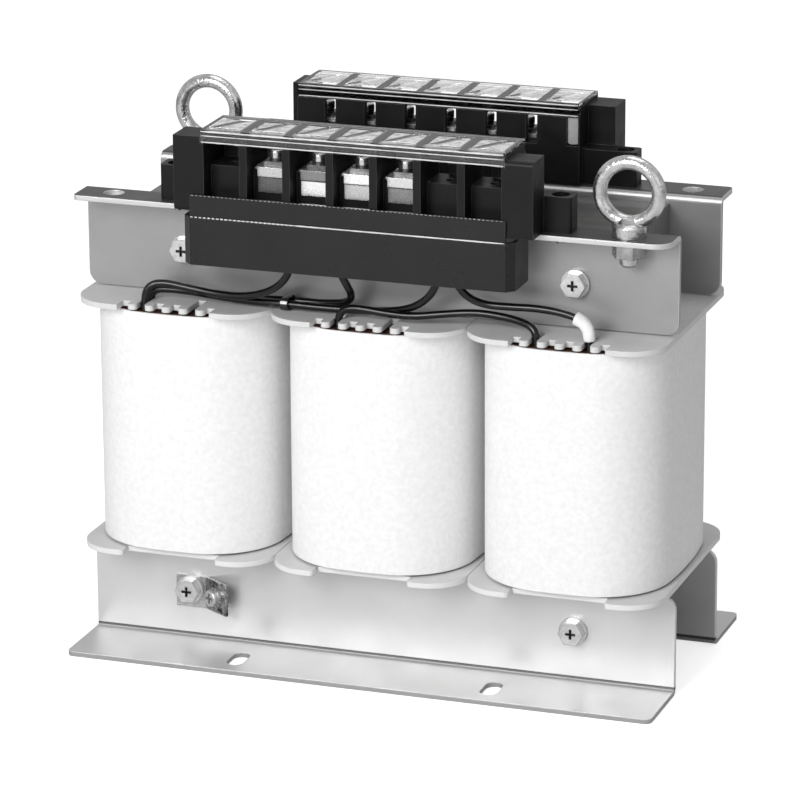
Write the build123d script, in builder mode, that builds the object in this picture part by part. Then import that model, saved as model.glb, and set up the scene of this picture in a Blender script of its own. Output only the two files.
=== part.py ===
from build123d import *
import math
import os

os.makedirs("parts", exist_ok=True)

# Three phase isolation transformer, dry, open type, all sizes in millimetres.
# +X runs along the three coils, -Y is the front with the first terminal block,
# +Z is up. The origin is on the ground under the middle of the core.

# Laminated core
leg_width = 45.0
yoke_width = 41.0
window_width = 46.0
window_height = 117.5
core_stack = 65.0
core_bottom = 6.5

# Folded steel brackets
bracket_length = 275.0
back_bracket_shorter = 8.0
sheet = 2.3
bend_radius = 1.0
foot_depth = 37.7
web_to_window = 2.0
web_above_window = 0.5
upper_web_height = 45.0
flange_depth = 17.4
web_corner = 6.0
foot_corner = 3.0
flange_corner_eye = 8.0
flange_corner_spare = 2.5
slot_width = 8.0
slot_length = 16.0
slot_offset_x = 60.0
slot_from_edge = 15.0

# Clamp bolts through the corners of the core
clamp_bolt = 6.0
clamp_hole_clearance = 0.3
clamp_below_window = 22.3
clamp_above_window = 20.3
clamp_head_flats = 10.0
clamp_head_height = 4.2
clamp_nut_height = 5.0
clamp_bolt_overrun = 3.0
washer_diameter = 13.0
washer_thickness = 1.4
cross_recess_width = 1.1
cross_recess_span = 4.6
cross_recess_depth = 1.6

# Coil formers
former_gap = 0.4
former_clearance = 0.5
former_wall = 2.0
flange_thickness = 2.5
coil_end_gap = 1.0
former_front = 63.0
former_back = 58.5
former_corner = 18.0
lobe_corner = 2.0
recess_half_width = 22.0
recess_depth = 7.0
comb_slots_each_side = 3
tooth_pitch = 8.0
tooth_width = 4.3
tooth_tip_setback = 2.4
comb_slot_depth = 5.0
lead_slot_depth = 15.2
lead_slot_offset = 12.0
tooth_tip_flat = 0.2
match_tolerance = 0.01

# Windings, seen from above as rounded boxes with crowned sides
coil_spacing = 3.8
wrap_front = 60.2
wrap_back = 53.0
wrap_side_crown = 5.2
wrap_end_crown = 4.4
wrap_corner = 33.0
wrap_thickness = 1.0
secondary_side_thickness = 8.8
secondary_front_thickness = 12.6
secondary_back_thickness = 10.0
primary_side_crown = 2.4
primary_end_crown = 2.2
primary_corner = 14.0

# Eye bolts and the spare lifting holes
eye_bolt = 8.0
eye_hole_clearance = 0.5
eye_from_end = 20.5
spare_hole_from_end = 16.0
spare_hole_diameter = 9.0
lifting_y = 42.5
eye_ring_outer = 32.6
eye_ring_section = 6.3
eye_centre_height = 19.5
eye_collar_diameter = 15.0
eye_collar_height = 6.2
eye_neck_diameter = 11.0
eye_nut_flats = 13.0
eye_nut_height = 6.5
eye_collar_edge = 4.8
eye_shank_overrun = 4.5
eye_shank_bevel = 1.2
eye_neck_in_ring = 2.0

# Terminal blocks: where each block's cells start, their pitch and the end walls
# The back block is drawn as seen from behind and then turned
pole_count = 7
front_cells_start = -72.5
front_pitch = 20.0
front_wall_left = 12.5
front_wall_right = 12.5
front_first_fitted = 1
front_last_fitted = 4
front_first_slit = 1
back_cells_start = -71.4
back_pitch = 19.1
back_wall_left = 12.7
back_wall_right = 7.0
back_first_fitted = 1
back_last_fitted = 6
back_first_slit = 0

# Terminal blocks, shared section
block_front = 62.0
block_rear = 33.0
block_height = 34.0
block_floor = 5.0
pedestal_height = 19.5
pedestal_front = 53.0
rear_wall = 3.5
partition = 3.5
rear_slit_width = 5.3
rear_slit_bottom = 17.9
rear_slit_top = 30.9
rear_slit_inset = 3.3
end_wall_rear = 46.5
end_wall_round = 2.0
ear_length = 12.5
ear_front = 47.0
ear_rear = 37.0
ear_height = 16.1
ear_corner = 1.5
ear_bore = 8.2
ear_bore_depth = 5.2
lid_above_walls = 3.1
lid_height = 5.9
lid_thickness = 1.5
lid_lip_thickness = 1.3
lid_clearance = 0.2
label_field_depth = 0.5
label_field_border = 2.2
label_field_length = 17.0

# Terminals in the blocks
terminal_sheet = 1.2
terminal_width = 13.8
terminal_leg_width = 11.6
terminal_leg_drop = 11.5
terminal_jaw_height = 5.0
terminal_jaw_step = 0.8
terminal_rear = 38.0
terminal_screw_y = 46.0
terminal_hole_clearance = 0.15
terminal_screw = 4.0
terminal_screw_depth = 8.0
terminal_tip_room = 1.0
terminal_head_diameter = 7.4
terminal_head_height = 3.6
square_washer = 9.0
square_washer_thickness = 1.5
spring_washer_diameter = 6.8
spring_washer_thickness = 1.4
thread_clearance = 0.05
head_rounding = 0.33

# Screws that hold the blocks on the flanges, sunk into the ears
mount_screw = 4.0
mount_screw_y = 42.0
mount_head_diameter = 7.0
mount_head_height = 2.6
mount_screw_overrun = 3.0
ear_hole_clearance = 0.3
mount_washer_diameter = 7.6
mount_washer_thickness = 0.9

# Cover that hangs below the front block and hides the lead ends
cover_left = -80.8
cover_right = 71.6
cover_wall = 1.8
cover_bottom_drop = 23.7
cover_band_drop = 2.0
cover_upper_height = 7.8
cover_upper_wall = 1.2
cover_rear = 42.0
cover_corner = 3.6
cover_flange_gap = 0.5
cover_edge_bevel = 0.5

# Earth terminal under the lower left clamp bolt
earth_sheet = 1.2
earth_height = 15.0
earth_below_bolt = 1.3
earth_left_of_bolt = 6.9
earth_right_of_bolt = 7.7
earth_tab_length = 15.5
earth_tab_angle = 32.0
earth_screw = 4.0
earth_head_diameter = 8.0
earth_head_height = 2.8
earth_head_rounding = 0.9
star_washer_diameter = 9.5
star_washer_thickness = 1.0
star_washer_teeth = 12
star_washer_notch = 1.0
earth_screw_overrun = 1.8

# Leads between the front cover and the coils
lead_diameter = 3.4
arc_share = 0.45
sleeve_diameter = 4.6
sleeve_clearance = 0.05
tie_width = 2.6
tie_thickness = 0.9
tie_clearance = 0.2

# Derived places
core_half = core_stack / 2
web_face = core_half + sheet
leg_pitch = leg_width + window_width
core_length = 3 * leg_width + 2 * window_width
window_bottom = core_bottom + yoke_width
window_top = window_bottom + window_height
core_top = window_top + yoke_width
lower_web_top = window_bottom - web_to_window
upper_web_bottom = window_top + web_above_window
flange_top = upper_web_bottom + upper_web_height
flange_bottom = flange_top - sheet
clamp_low_z = window_bottom - clamp_below_window
clamp_high_z = window_top + clamp_above_window
clamp_bolt_x = leg_pitch
former_half_width = leg_pitch / 2 - former_gap / 2
coil_bottom = window_bottom + flange_thickness + coil_end_gap
coil_top = window_top - flange_thickness - coil_end_gap
wrap_half_width = (leg_pitch - coil_spacing) / 2
slot_y = web_face + foot_depth - slot_from_edge
block_top = flange_top + block_height
lid_top = block_top + lid_above_walls


def finish(piece, label):
    """Name a finished piece and write it as its own file."""
    piece.part.label = label
    export_step(piece.part, f"parts/{label}.step")
    print(label, "solids", len(piece.part.solids()), "volume", round(piece.part.volume))


def turned(piece, label):
    """The same piece, turned half a turn about the upright axis for the back."""
    with BuildPart() as back:
        add(piece.part.rotate(Axis.Z, 180))
    finish(back, label)


def edge_near(piece, axis, point):
    """The edge along an axis that lies nearest to a point."""
    return piece.edges().filter_by(axis).sort_by_distance(Vector(*point))[0]


# Core: E shaped sheets for the legs and lower yoke, straight sheets for the upper yoke
with BuildPart() as core_e_stack:
    with BuildSketch(Plane.XZ):
        with Locations((0, (core_bottom + window_top) / 2)):
            Rectangle(core_length, window_top - core_bottom)
        with Locations((0, (window_bottom + window_top) / 2)):
            with GridLocations(leg_pitch, 0, 2, 1):
                Rectangle(window_width, window_height, mode=Mode.SUBTRACT)
        with Locations((-clamp_bolt_x, clamp_low_z), (clamp_bolt_x, clamp_low_z)):
            Circle(clamp_bolt / 2 + clamp_hole_clearance, mode=Mode.SUBTRACT)
    extrude(amount=core_half, both=True)
finish(core_e_stack, "core_e_stack")

with BuildPart() as core_top_yoke:
    with BuildSketch(Plane.XZ):
        with Locations((0, (window_top + core_top) / 2)):
            Rectangle(core_length, yoke_width)
        with Locations((-clamp_bolt_x, clamp_high_z), (clamp_bolt_x, clamp_high_z)):
            Circle(clamp_bolt / 2 + clamp_hole_clearance, mode=Mode.SUBTRACT)
    extrude(amount=core_half, both=True)
finish(core_top_yoke, "core_top_yoke")

# Lower brackets: a web against the core and a foot folded outward
with BuildPart() as lower_bracket_front:
    with BuildSketch(Plane.YZ.offset(-bracket_length / 2)):
        with BuildLine():
            Polyline(
                (-core_half, lower_web_top),
                (-core_half, 0),
                (-web_face - foot_depth, 0),
                (-web_face - foot_depth, sheet),
                (-web_face, sheet),
                (-web_face, lower_web_top),
                close=True,
            )
        make_face()
    extrude(amount=bracket_length)
    fillet(edge_near(lower_bracket_front, Axis.X, (0, -web_face, sheet)), bend_radius)
    fillet(edge_near(lower_bracket_front, Axis.X, (0, -core_half, 0)), bend_radius + sheet)
    fillet(lower_bracket_front.edges().filter_by(Axis.Y).group_by(Axis.Z)[-1], web_corner)
    fillet(lower_bracket_front.edges().filter_by(Axis.Z).group_by(Axis.Y)[0], foot_corner)
    with BuildSketch():
        with Locations((-slot_offset_x, -slot_y), (slot_offset_x, -slot_y)):
            SlotOverall(slot_length, slot_width, rotation=90)
    extrude(amount=sheet, mode=Mode.SUBTRACT)
    with BuildSketch(Plane.XZ.offset(core_half)):
        with Locations((-clamp_bolt_x, clamp_low_z), (clamp_bolt_x, clamp_low_z)):
            Circle(clamp_bolt / 2 + clamp_hole_clearance)
    extrude(amount=sheet, mode=Mode.SUBTRACT)
finish(lower_bracket_front, "lower_bracket_front")
turned(lower_bracket_front, "lower_bracket_back")


def block_span(cell_start, pitch, wall_left, wall_right):
    """Outer ends of a terminal block, and the places of its two mounting screws."""
    left = cell_start - wall_left
    right = cell_start + pole_count * pitch + wall_right
    screws = (left - ear_length / 2, right + ear_length / 2)
    return left, right, screws


front_layout = (front_cells_start, front_pitch, front_wall_left, front_wall_right)
back_layout = (back_cells_start, back_pitch, back_wall_left, back_wall_right)
front_eye_x = bracket_length / 2 - eye_from_end
back_eye_x = front_eye_x - back_bracket_shorter
spare_hole_x = -bracket_length / 2 + spare_hole_from_end


def make_upper_bracket(layout, eye_x):
    """A web against the upper yoke with a flange folded outward that carries a block."""
    screw_x = block_span(*layout)[2]
    length = bracket_length / 2 + eye_x + eye_from_end
    with BuildPart() as bracket:
        with BuildSketch(Plane.YZ.offset(-bracket_length / 2)):
            with BuildLine():
                Polyline(
                    (-core_half, upper_web_bottom),
                    (-core_half, flange_top),
                    (-web_face - flange_depth, flange_top),
                    (-web_face - flange_depth, flange_bottom),
                    (-web_face, flange_bottom),
                    (-web_face, upper_web_bottom),
                    close=True,
                )
            make_face()
        extrude(amount=length)
        fillet(edge_near(bracket, Axis.X, (0, -web_face, flange_bottom)), bend_radius)
        fillet(edge_near(bracket, Axis.X, (0, -core_half, flange_top)), bend_radius + sheet)
        fillet(bracket.edges().filter_by(Axis.Y).group_by(Axis.Z)[0], web_corner)
        corners = bracket.edges().filter_by(Axis.Z).group_by(Axis.Y)[0].sort_by(Axis.X)
        fillet(corners[0], flange_corner_spare)
        fillet(corners[-1], flange_corner_eye)
        with BuildSketch(Plane.XY.offset(flange_bottom)):
            with Locations((eye_x, -lifting_y)):
                Circle(eye_bolt / 2 + eye_hole_clearance)
            with Locations((spare_hole_x, -lifting_y)):
                Circle(spare_hole_diameter / 2)
            with Locations(*[(x, -mount_screw_y) for x in screw_x]):
                Circle(mount_screw / 2 + thread_clearance)
        extrude(amount=sheet, mode=Mode.SUBTRACT)
        with BuildSketch(Plane.XZ.offset(core_half)):
            with Locations((-clamp_bolt_x, clamp_high_z), (clamp_bolt_x, clamp_high_z)):
                Circle(clamp_bolt / 2 + clamp_hole_clearance)
        extrude(amount=sheet, mode=Mode.SUBTRACT)
    return bracket


finish(make_upper_bracket(front_layout, front_eye_x), "upper_bracket_front")
turned(make_upper_bracket(back_layout, back_eye_x), "upper_bracket_back")


# Clamp bolts, with the lower left one standing off by the thickness of the earth tab
def bolt_points(level):
    return [(-clamp_bolt_x, level), (clamp_bolt_x, level)]


clamp_points = bolt_points(clamp_low_z) + bolt_points(clamp_high_z)
earth_point = (-clamp_bolt_x, clamp_low_z)
clamp_tip = web_face + washer_thickness + clamp_nut_height + clamp_bolt_overrun
with BuildPart() as clamp_bolts:
    for point in clamp_points:
        seat = web_face + washer_thickness
        if point == earth_point:
            seat += earth_sheet
        with BuildSketch(Plane.XZ.offset(-clamp_tip)):
            with Locations(point):
                Circle(clamp_bolt / 2)
        extrude(amount=clamp_tip + seat)
        with BuildSketch(Plane.XZ.offset(seat)):
            with Locations(point):
                RegularPolygon(clamp_head_flats / 2, 6, major_radius=False)
        extrude(amount=clamp_head_height)
        with BuildSketch(Plane.XZ.offset(seat + clamp_head_height)):
            with Locations(point):
                Rectangle(cross_recess_span, cross_recess_width)
                Rectangle(cross_recess_width, cross_recess_span)
        extrude(amount=-cross_recess_depth, mode=Mode.SUBTRACT)
finish(clamp_bolts, "clamp_bolts")

with BuildPart() as clamp_washers:
    for point in clamp_points:
        seat = web_face
        if point == earth_point:
            seat += earth_sheet
        with BuildSketch(Plane.XZ.offset(seat)):
            with Locations(point):
                Circle(washer_diameter / 2)
                Circle(clamp_bolt / 2 + clamp_hole_clearance, mode=Mode.SUBTRACT)
        extrude(amount=washer_thickness)
        with BuildSketch(Plane.XZ.offset(-web_face)):
            with Locations(point):
                Circle(washer_diameter / 2)
                Circle(clamp_bolt / 2 + clamp_hole_clearance, mode=Mode.SUBTRACT)
        extrude(amount=-washer_thickness)
finish(clamp_washers, "clamp_washers")

with BuildPart() as clamp_nuts:
    with BuildSketch(Plane.XZ.offset(-web_face - washer_thickness)):
        with Locations(*clamp_points):
            RegularPolygon(clamp_head_flats / 2, 6, major_radius=False)
            Circle(clamp_bolt / 2 + thread_clearance, mode=Mode.SUBTRACT)
    extrude(amount=-clamp_nut_height)
finish(clamp_nuts, "clamp_nuts")

# Earth tab: a strip under the bolt head whose free end is bent away from the bracket
earth_angle = math.radians(earth_tab_angle)
earth_left = -clamp_bolt_x - earth_left_of_bolt
earth_bend = -clamp_bolt_x + earth_right_of_bolt
earth_middle = clamp_low_z - earth_below_bolt
along = Vector(math.cos(earth_angle), -math.sin(earth_angle))
outward = Vector(-math.sin(earth_angle), -math.cos(earth_angle))
bend_point = Vector(earth_bend, -web_face)
tab_end = bend_point + along * earth_tab_length
inner_corner = bend_point + Vector(-earth_sheet * math.tan(earth_angle / 2), -earth_sheet)
earth_outer_face = bend_point + along * (earth_tab_length / 2) + outward * earth_sheet
earth_screw_plane = Plane(
    origin=(earth_outer_face.X, earth_outer_face.Y, earth_middle),
    x_dir=(along.X, along.Y, 0),
    z_dir=(outward.X, outward.Y, 0),
)
with BuildPart() as earth_tab:
    with BuildSketch(Plane.XY.offset(earth_middle - earth_height / 2)):
        with BuildLine():
            Polyline(
                (earth_left, -web_face),
                (bend_point.X, bend_point.Y),
                (tab_end.X, tab_end.Y),
                (tab_end.X + outward.X * earth_sheet, tab_end.Y + outward.Y * earth_sheet),
                (inner_corner.X, inner_corner.Y),
                (earth_left, -web_face - earth_sheet),
                close=True,
            )
        make_face()
    extrude(amount=earth_height)
    with BuildSketch(Plane.XZ.offset(web_face)):
        with Locations(earth_point):
            Circle(clamp_bolt / 2 + clamp_hole_clearance)
    extrude(amount=earth_sheet, mode=Mode.SUBTRACT)
    with BuildSketch(earth_screw_plane):
        Circle(earth_screw / 2 + thread_clearance)
    extrude(amount=-earth_sheet, mode=Mode.SUBTRACT)
finish(earth_tab, "earth_tab")

with BuildPart() as earth_star_washer:
    with BuildSketch(earth_screw_plane):
        Circle(star_washer_diameter / 2)
        with PolarLocations(star_washer_diameter / 2, star_washer_teeth):
            Rectangle(star_washer_notch, star_washer_notch, mode=Mode.SUBTRACT)
        Circle(earth_screw / 2 + clamp_hole_clearance, mode=Mode.SUBTRACT)
    extrude(amount=star_washer_thickness)
finish(earth_star_washer, "earth_star_washer")

with BuildPart() as earth_screw_piece:
    with BuildSketch(earth_screw_plane.offset(star_washer_thickness)):
        Circle(earth_head_diameter / 2)
    extrude(amount=earth_head_height)
    screw_axis = Axis(earth_screw_plane.origin, earth_screw_plane.z_dir)
    fillet(earth_screw_piece.edges().sort_by(screw_axis)[-1], earth_head_rounding)
    with BuildSketch(earth_screw_plane.offset(star_washer_thickness + earth_head_height)):
        Rectangle(cross_recess_span, cross_recess_width)
        Rectangle(cross_recess_width, cross_recess_span)
    extrude(amount=-cross_recess_depth, mode=Mode.SUBTRACT)
    with BuildSketch(earth_screw_plane.offset(star_washer_thickness)):
        Circle(earth_screw / 2)
    extrude(amount=-(star_washer_thickness + earth_sheet + earth_screw_overrun))
finish(earth_screw_piece, "earth_screw")


# Coil formers: a tube round the leg with a flange at each end
def make_former(label, x):
    """The upper flange has comb slots at front and back, two of them deep enough for leads."""
    outer_half_x = leg_width / 2 + former_clearance + former_wall
    outer_half_y = core_half + former_clearance + former_wall
    slot_width_here = tooth_pitch - tooth_width
    comb_half = (2 * comb_slots_each_side - 1) * tooth_pitch / 2 + slot_width_here / 2
    slot_places = [(i - comb_slots_each_side + 0.5) * tooth_pitch for i in range(2 * comb_slots_each_side)]
    flange_middle = (former_back - former_front) / 2
    with BuildPart() as former:
        with BuildSketch(Plane.XY.offset(window_bottom)) as low:
            with Locations((x, flange_middle)):
                Rectangle(2 * former_half_width, former_front + former_back)
            fillet(low.vertices(), former_corner)
            for edge_y in (-former_front + recess_depth / 2, former_back - recess_depth / 2):
                with Locations((x, edge_y)):
                    Rectangle(2 * recess_half_width, recess_depth, mode=Mode.SUBTRACT)
            lobes = [v for v in low.vertices() if abs(abs(v.X - x) - recess_half_width) < match_tolerance]
            outer = [v for v in lobes if v.Y < -former_front + recess_depth / 2]
            outer += [v for v in lobes if v.Y > former_back - recess_depth / 2]
            fillet(outer, lobe_corner)
        extrude(amount=flange_thickness)
        with BuildSketch(Plane.XY.offset(window_top - flange_thickness)) as top:
            with Locations((x, flange_middle)):
                Rectangle(2 * former_half_width, former_front + former_back)
            fillet(top.vertices(), former_corner)
            for side, edge in ((-1, former_front), (1, former_back)):
                with Locations((x, side * (edge - tooth_tip_setback / 2))):
                    Rectangle(2 * comb_half, tooth_tip_setback, mode=Mode.SUBTRACT)
                for place in slot_places:
                    deep = side < 0 and abs(abs(place) - lead_slot_offset) < match_tolerance
                    depth = tooth_tip_setback + (lead_slot_depth if deep else comb_slot_depth)
                    with Locations((x + place, side * (edge - depth / 2))):
                        Rectangle(slot_width_here, depth, mode=Mode.SUBTRACT)
                tip_y = side * (edge - tooth_tip_setback)
                row = [v for v in top.vertices() if abs(v.Y - tip_y) < match_tolerance]
                teeth = [v for v in row if abs(v.X - x) < comb_half - match_tolerance]
                fillet(teeth, (tooth_width - tooth_tip_flat) / 2)
        extrude(amount=flange_thickness)
        with BuildSketch(Plane.XY.offset(window_bottom)):
            with Locations((x, 0)):
                Rectangle(2 * outer_half_x, 2 * outer_half_y)
        extrude(amount=window_height)
        with BuildSketch(Plane.XY.offset(window_bottom)):
            with Locations((x, 0)):
                Rectangle(leg_width + 2 * former_clearance, core_stack + 2 * former_clearance)
        extrude(amount=window_height, mode=Mode.SUBTRACT)
    finish(former, label)


def crowned_outline(x, half_width, front, back, side_crown, end_crown):
    """Four arcs that bulge outward, before their corners are rounded."""
    corner_x = half_width - side_crown
    corner_front = -front + end_crown
    corner_back = back - end_crown
    middle = (back - front) / 2
    ThreePointArc((x - corner_x, corner_front), (x, -front), (x + corner_x, corner_front))
    ThreePointArc((x + corner_x, corner_front), (x + half_width, middle), (x + corner_x, corner_back))
    ThreePointArc((x + corner_x, corner_back), (x, back), (x - corner_x, corner_back))
    ThreePointArc((x - corner_x, corner_back), (x - half_width, middle), (x - corner_x, corner_front))


# Outlines as half width, front depth, back depth, crown of the sides and of the ends
wrap_outline = (wrap_half_width, wrap_front, wrap_back, wrap_side_crown, wrap_end_crown)
secondary_outline = (
    wrap_half_width - wrap_thickness,
    wrap_front - wrap_thickness,
    wrap_back - wrap_thickness,
    wrap_side_crown,
    wrap_end_crown,
)
secondary_corner = wrap_corner - wrap_thickness
primary_outline = (
    secondary_outline[0] - secondary_side_thickness,
    secondary_outline[1] - secondary_front_thickness,
    secondary_outline[2] - secondary_back_thickness,
    primary_side_crown,
    primary_end_crown,
)


def make_winding(label, x, outline, corner, inner_outline, inner_corner):
    """A ring between two rounded outlines."""
    with BuildPart() as winding:
        with BuildSketch(Plane.XY.offset(coil_bottom)) as plan:
            with BuildLine():
                crowned_outline(x, *outline)
            make_face()
            fillet(plan.vertices(), corner)
        extrude(amount=coil_top - coil_bottom)
        with BuildSketch(Plane.XY.offset(coil_bottom)) as plan:
            with BuildLine():
                crowned_outline(x, *inner_outline)
            make_face()
            fillet(plan.vertices(), inner_corner)
        extrude(amount=coil_top - coil_bottom, mode=Mode.SUBTRACT)
    finish(winding, label)


def make_primary(label, x):
    """The inner winding, from the former's tube out to a rounded outline."""
    tube_x = leg_width + 2 * former_clearance + 2 * former_wall
    tube_y = core_stack + 2 * former_clearance + 2 * former_wall
    with BuildPart() as winding:
        with BuildSketch(Plane.XY.offset(coil_bottom)) as plan:
            with BuildLine():
                crowned_outline(x, *primary_outline)
            make_face()
            fillet(plan.vertices(), primary_corner)
            with Locations((x, 0)):
                Rectangle(tube_x, tube_y, mode=Mode.SUBTRACT)
        extrude(amount=coil_top - coil_bottom)
    finish(winding, label)


for place, leg_x in (("left", -leg_pitch), ("centre", 0.0), ("right", leg_pitch)):
    make_former(f"coil_former_{place}", leg_x)
    make_primary(f"primary_winding_{place}", leg_x)
    make_winding(
        f"secondary_winding_{place}",
        leg_x,
        secondary_outline,
        secondary_corner,
        primary_outline,
        primary_corner,
    )
    make_winding(
        f"outer_wrap_{place}",
        leg_x,
        wrap_outline,
        wrap_corner,
        secondary_outline,
        secondary_corner,
    )


# Lifting eye bolts: shank and collar turned as one, with the ring on top
ring_radius = (eye_ring_outer - eye_ring_section) / 2
ring_z = flange_top + eye_centre_height
eye_nut_bottom = flange_bottom - eye_nut_height
shank_end_z = eye_nut_bottom - eye_shank_overrun
neck_top = ring_z - ring_radius + eye_neck_in_ring


def make_eye_bolt(x):
    """One eye bolt on the front flange, at a distance from the middle."""
    with BuildPart() as bolt:
        with BuildSketch(Plane.XZ.offset(lifting_y)):
            with BuildLine():
                Polyline(
                    (x, shank_end_z),
                    (x + eye_bolt / 2 - eye_shank_bevel, shank_end_z),
                    (x + eye_bolt / 2, shank_end_z + eye_shank_bevel),
                    (x + eye_bolt / 2, flange_top),
                    (x + eye_collar_diameter / 2, flange_top),
                    (x + eye_collar_diameter / 2, flange_top + eye_collar_edge),
                    (x + eye_neck_diameter / 2, flange_top + eye_collar_height),
                    (x + eye_bolt / 2, neck_top),
                    (x, neck_top),
                    close=True,
                )
            make_face()
        revolve(axis=Axis((x, -lifting_y, 0), (0, 0, 1)))
        with BuildSketch(Plane.XY.offset(ring_z)):
            with Locations((x + ring_radius, -lifting_y)):
                Circle(eye_ring_section / 2)
        revolve(axis=Axis((x, -lifting_y, ring_z), (0, 1, 0)))
    return bolt


finish(make_eye_bolt(front_eye_x), "eye_bolt_front")
turned(make_eye_bolt(back_eye_x), "eye_bolt_back")

with BuildPart() as eye_bolt_nuts:
    with BuildSketch(Plane.XY.offset(flange_bottom)):
        with Locations((front_eye_x, -lifting_y), (-back_eye_x, lifting_y)):
            RegularPolygon(eye_nut_flats / 2, 6, major_radius=False)
            Circle(eye_bolt / 2 + thread_clearance, mode=Mode.SUBTRACT)
    extrude(amount=-eye_nut_height)
finish(eye_bolt_nuts, "eye_bolt_nuts")


def pole_points(layout, poles, y):
    """Points at the middle of the named poles, at one depth."""
    cell_start, pitch = layout[:2]
    return [(cell_start + (pole + 0.5) * pitch, -y) for pole in poles]


# Terminal blocks, drawn with the wires coming in from -Y
def make_block_body(layout, first_slit):
    """Floor, pedestals, partitions, end walls, rear wall with slits and two ears."""
    cell_start, pitch = layout[:2]
    left, right, screws = block_span(*layout)
    cell_end = cell_start + pole_count * pitch
    floor_top = flange_top + block_floor
    pedestal_top = flange_top + pedestal_height
    ledge = lid_top - lid_thickness
    lip_bottom = lid_top - lid_height - lid_clearance
    lip_cut = lid_lip_thickness + lid_clearance
    with BuildPart() as body:
        for wall_start, wall_end in ((left, cell_start), (cell_end, right)):
            with BuildSketch(Plane.YZ.offset(wall_start)) as section:
                with BuildLine():
                    Polyline(
                        (-block_front, flange_top),
                        (-block_front, block_top),
                        (-end_wall_rear, block_top),
                        (-end_wall_rear, flange_top),
                        close=True,
                    )
                make_face()
                corners = section.vertices().sort_by(Axis.Z)[-2:]
                fillet(corners.sort_by(Axis.Y)[0], end_wall_round)
            extrude(amount=wall_end - wall_start)
        with BuildSketch(Plane.YZ.offset(cell_start)):
            with BuildLine():
                Polyline(
                    (-block_front, flange_top),
                    (-block_front, lip_bottom),
                    (-block_front + lip_cut, lip_bottom),
                    (-block_front + lip_cut, ledge),
                    (-block_rear - lip_cut, ledge),
                    (-block_rear - lip_cut, lip_bottom),
                    (-block_rear, lip_bottom),
                    (-block_rear, flange_top),
                    close=True,
                )
            make_face()
        extrude(amount=cell_end - cell_start)
        for pole in range(pole_count):
            opening = cell_start + pole * pitch + partition / 2
            with BuildSketch(Plane.YZ.offset(opening)):
                with BuildLine():
                    Polyline(
                        (-block_front, floor_top),
                        (-pedestal_front, floor_top),
                        (-pedestal_front, pedestal_top),
                        (-block_rear - rear_wall, pedestal_top),
                        (-block_rear - rear_wall, ledge),
                        (-block_front, ledge),
                        close=True,
                    )
                make_face()
            extrude(amount=pitch - partition, mode=Mode.SUBTRACT)
        slit_height = rear_slit_top - rear_slit_bottom
        slit_z = flange_top + (rear_slit_top + rear_slit_bottom) / 2
        slit_x = [cell_start + i * pitch + rear_slit_inset for i in range(first_slit, pole_count)]
        with BuildSketch(Plane.XZ.offset(block_rear)):
            with Locations(*[(x, slit_z) for x in slit_x]):
                Rectangle(rear_slit_width, slit_height)
        extrude(amount=rear_wall, mode=Mode.SUBTRACT)
        with BuildSketch(Plane.XY.offset(pedestal_top)):
            with Locations(*pole_points(layout, range(pole_count), terminal_screw_y)):
                Circle(terminal_screw / 2 + thread_clearance)
        extrude(amount=-terminal_screw_depth, mode=Mode.SUBTRACT)
        with BuildSketch(Plane.XY.offset(flange_top)) as ears:
            for inner, outer in ((cell_start, left - ear_length), (cell_end, right + ear_length)):
                with Locations(((inner + outer) / 2, -(ear_front + ear_rear) / 2)):
                    Rectangle(abs(outer - inner), ear_front - ear_rear)
            ends = ears.vertices().group_by(Axis.X)
            fillet(ends[0] + ends[-1], ear_corner)
        extrude(amount=ear_height)
        with BuildSketch(Plane.XY.offset(flange_top)):
            with Locations(*[(x, -mount_screw_y) for x in screws]):
                Circle(mount_screw / 2 + ear_hole_clearance)
        extrude(amount=ear_height, mode=Mode.SUBTRACT)
        with BuildSketch(Plane.XY.offset(flange_top + ear_height)):
            with Locations(*[(x, -mount_screw_y) for x in screws]):
                Circle(ear_bore / 2)
        extrude(amount=-ear_bore_depth, mode=Mode.SUBTRACT)
    return body


def make_lid(layout):
    """A clear strip over the cells with a lip along both long edges and blank label fields."""
    cell_start, pitch = layout[:2]
    start = cell_start + lid_clearance
    length = pole_count * pitch - 2 * lid_clearance
    lip_end = lid_top - lid_height
    underside = lid_top - lid_thickness
    field_y = (block_front + block_rear) / 2
    with BuildPart() as lid:
        with BuildSketch(Plane.YZ.offset(start)):
            with BuildLine():
                Polyline(
                    (-block_front, lip_end),
                    (-block_front, lid_top),
                    (-block_rear, lid_top),
                    (-block_rear, lip_end),
                    (-block_rear - lid_lip_thickness, lip_end),
                    (-block_rear - lid_lip_thickness, underside),
                    (-block_front + lid_lip_thickness, underside),
                    (-block_front + lid_lip_thickness, lip_end),
                    close=True,
                )
            make_face()
        extrude(amount=length)
        fillet(lid.edges().filter_by(Axis.X).group_by(Axis.Z)[-1], lid_lip_thickness / 2)
        with BuildSketch(Plane.XY.offset(lid_top)):
            with Locations(*pole_points(layout, range(pole_count), field_y)):
                Rectangle(pitch - 2 * label_field_border, label_field_length)
        extrude(amount=-label_field_depth, mode=Mode.SUBTRACT)
    return lid


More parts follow.
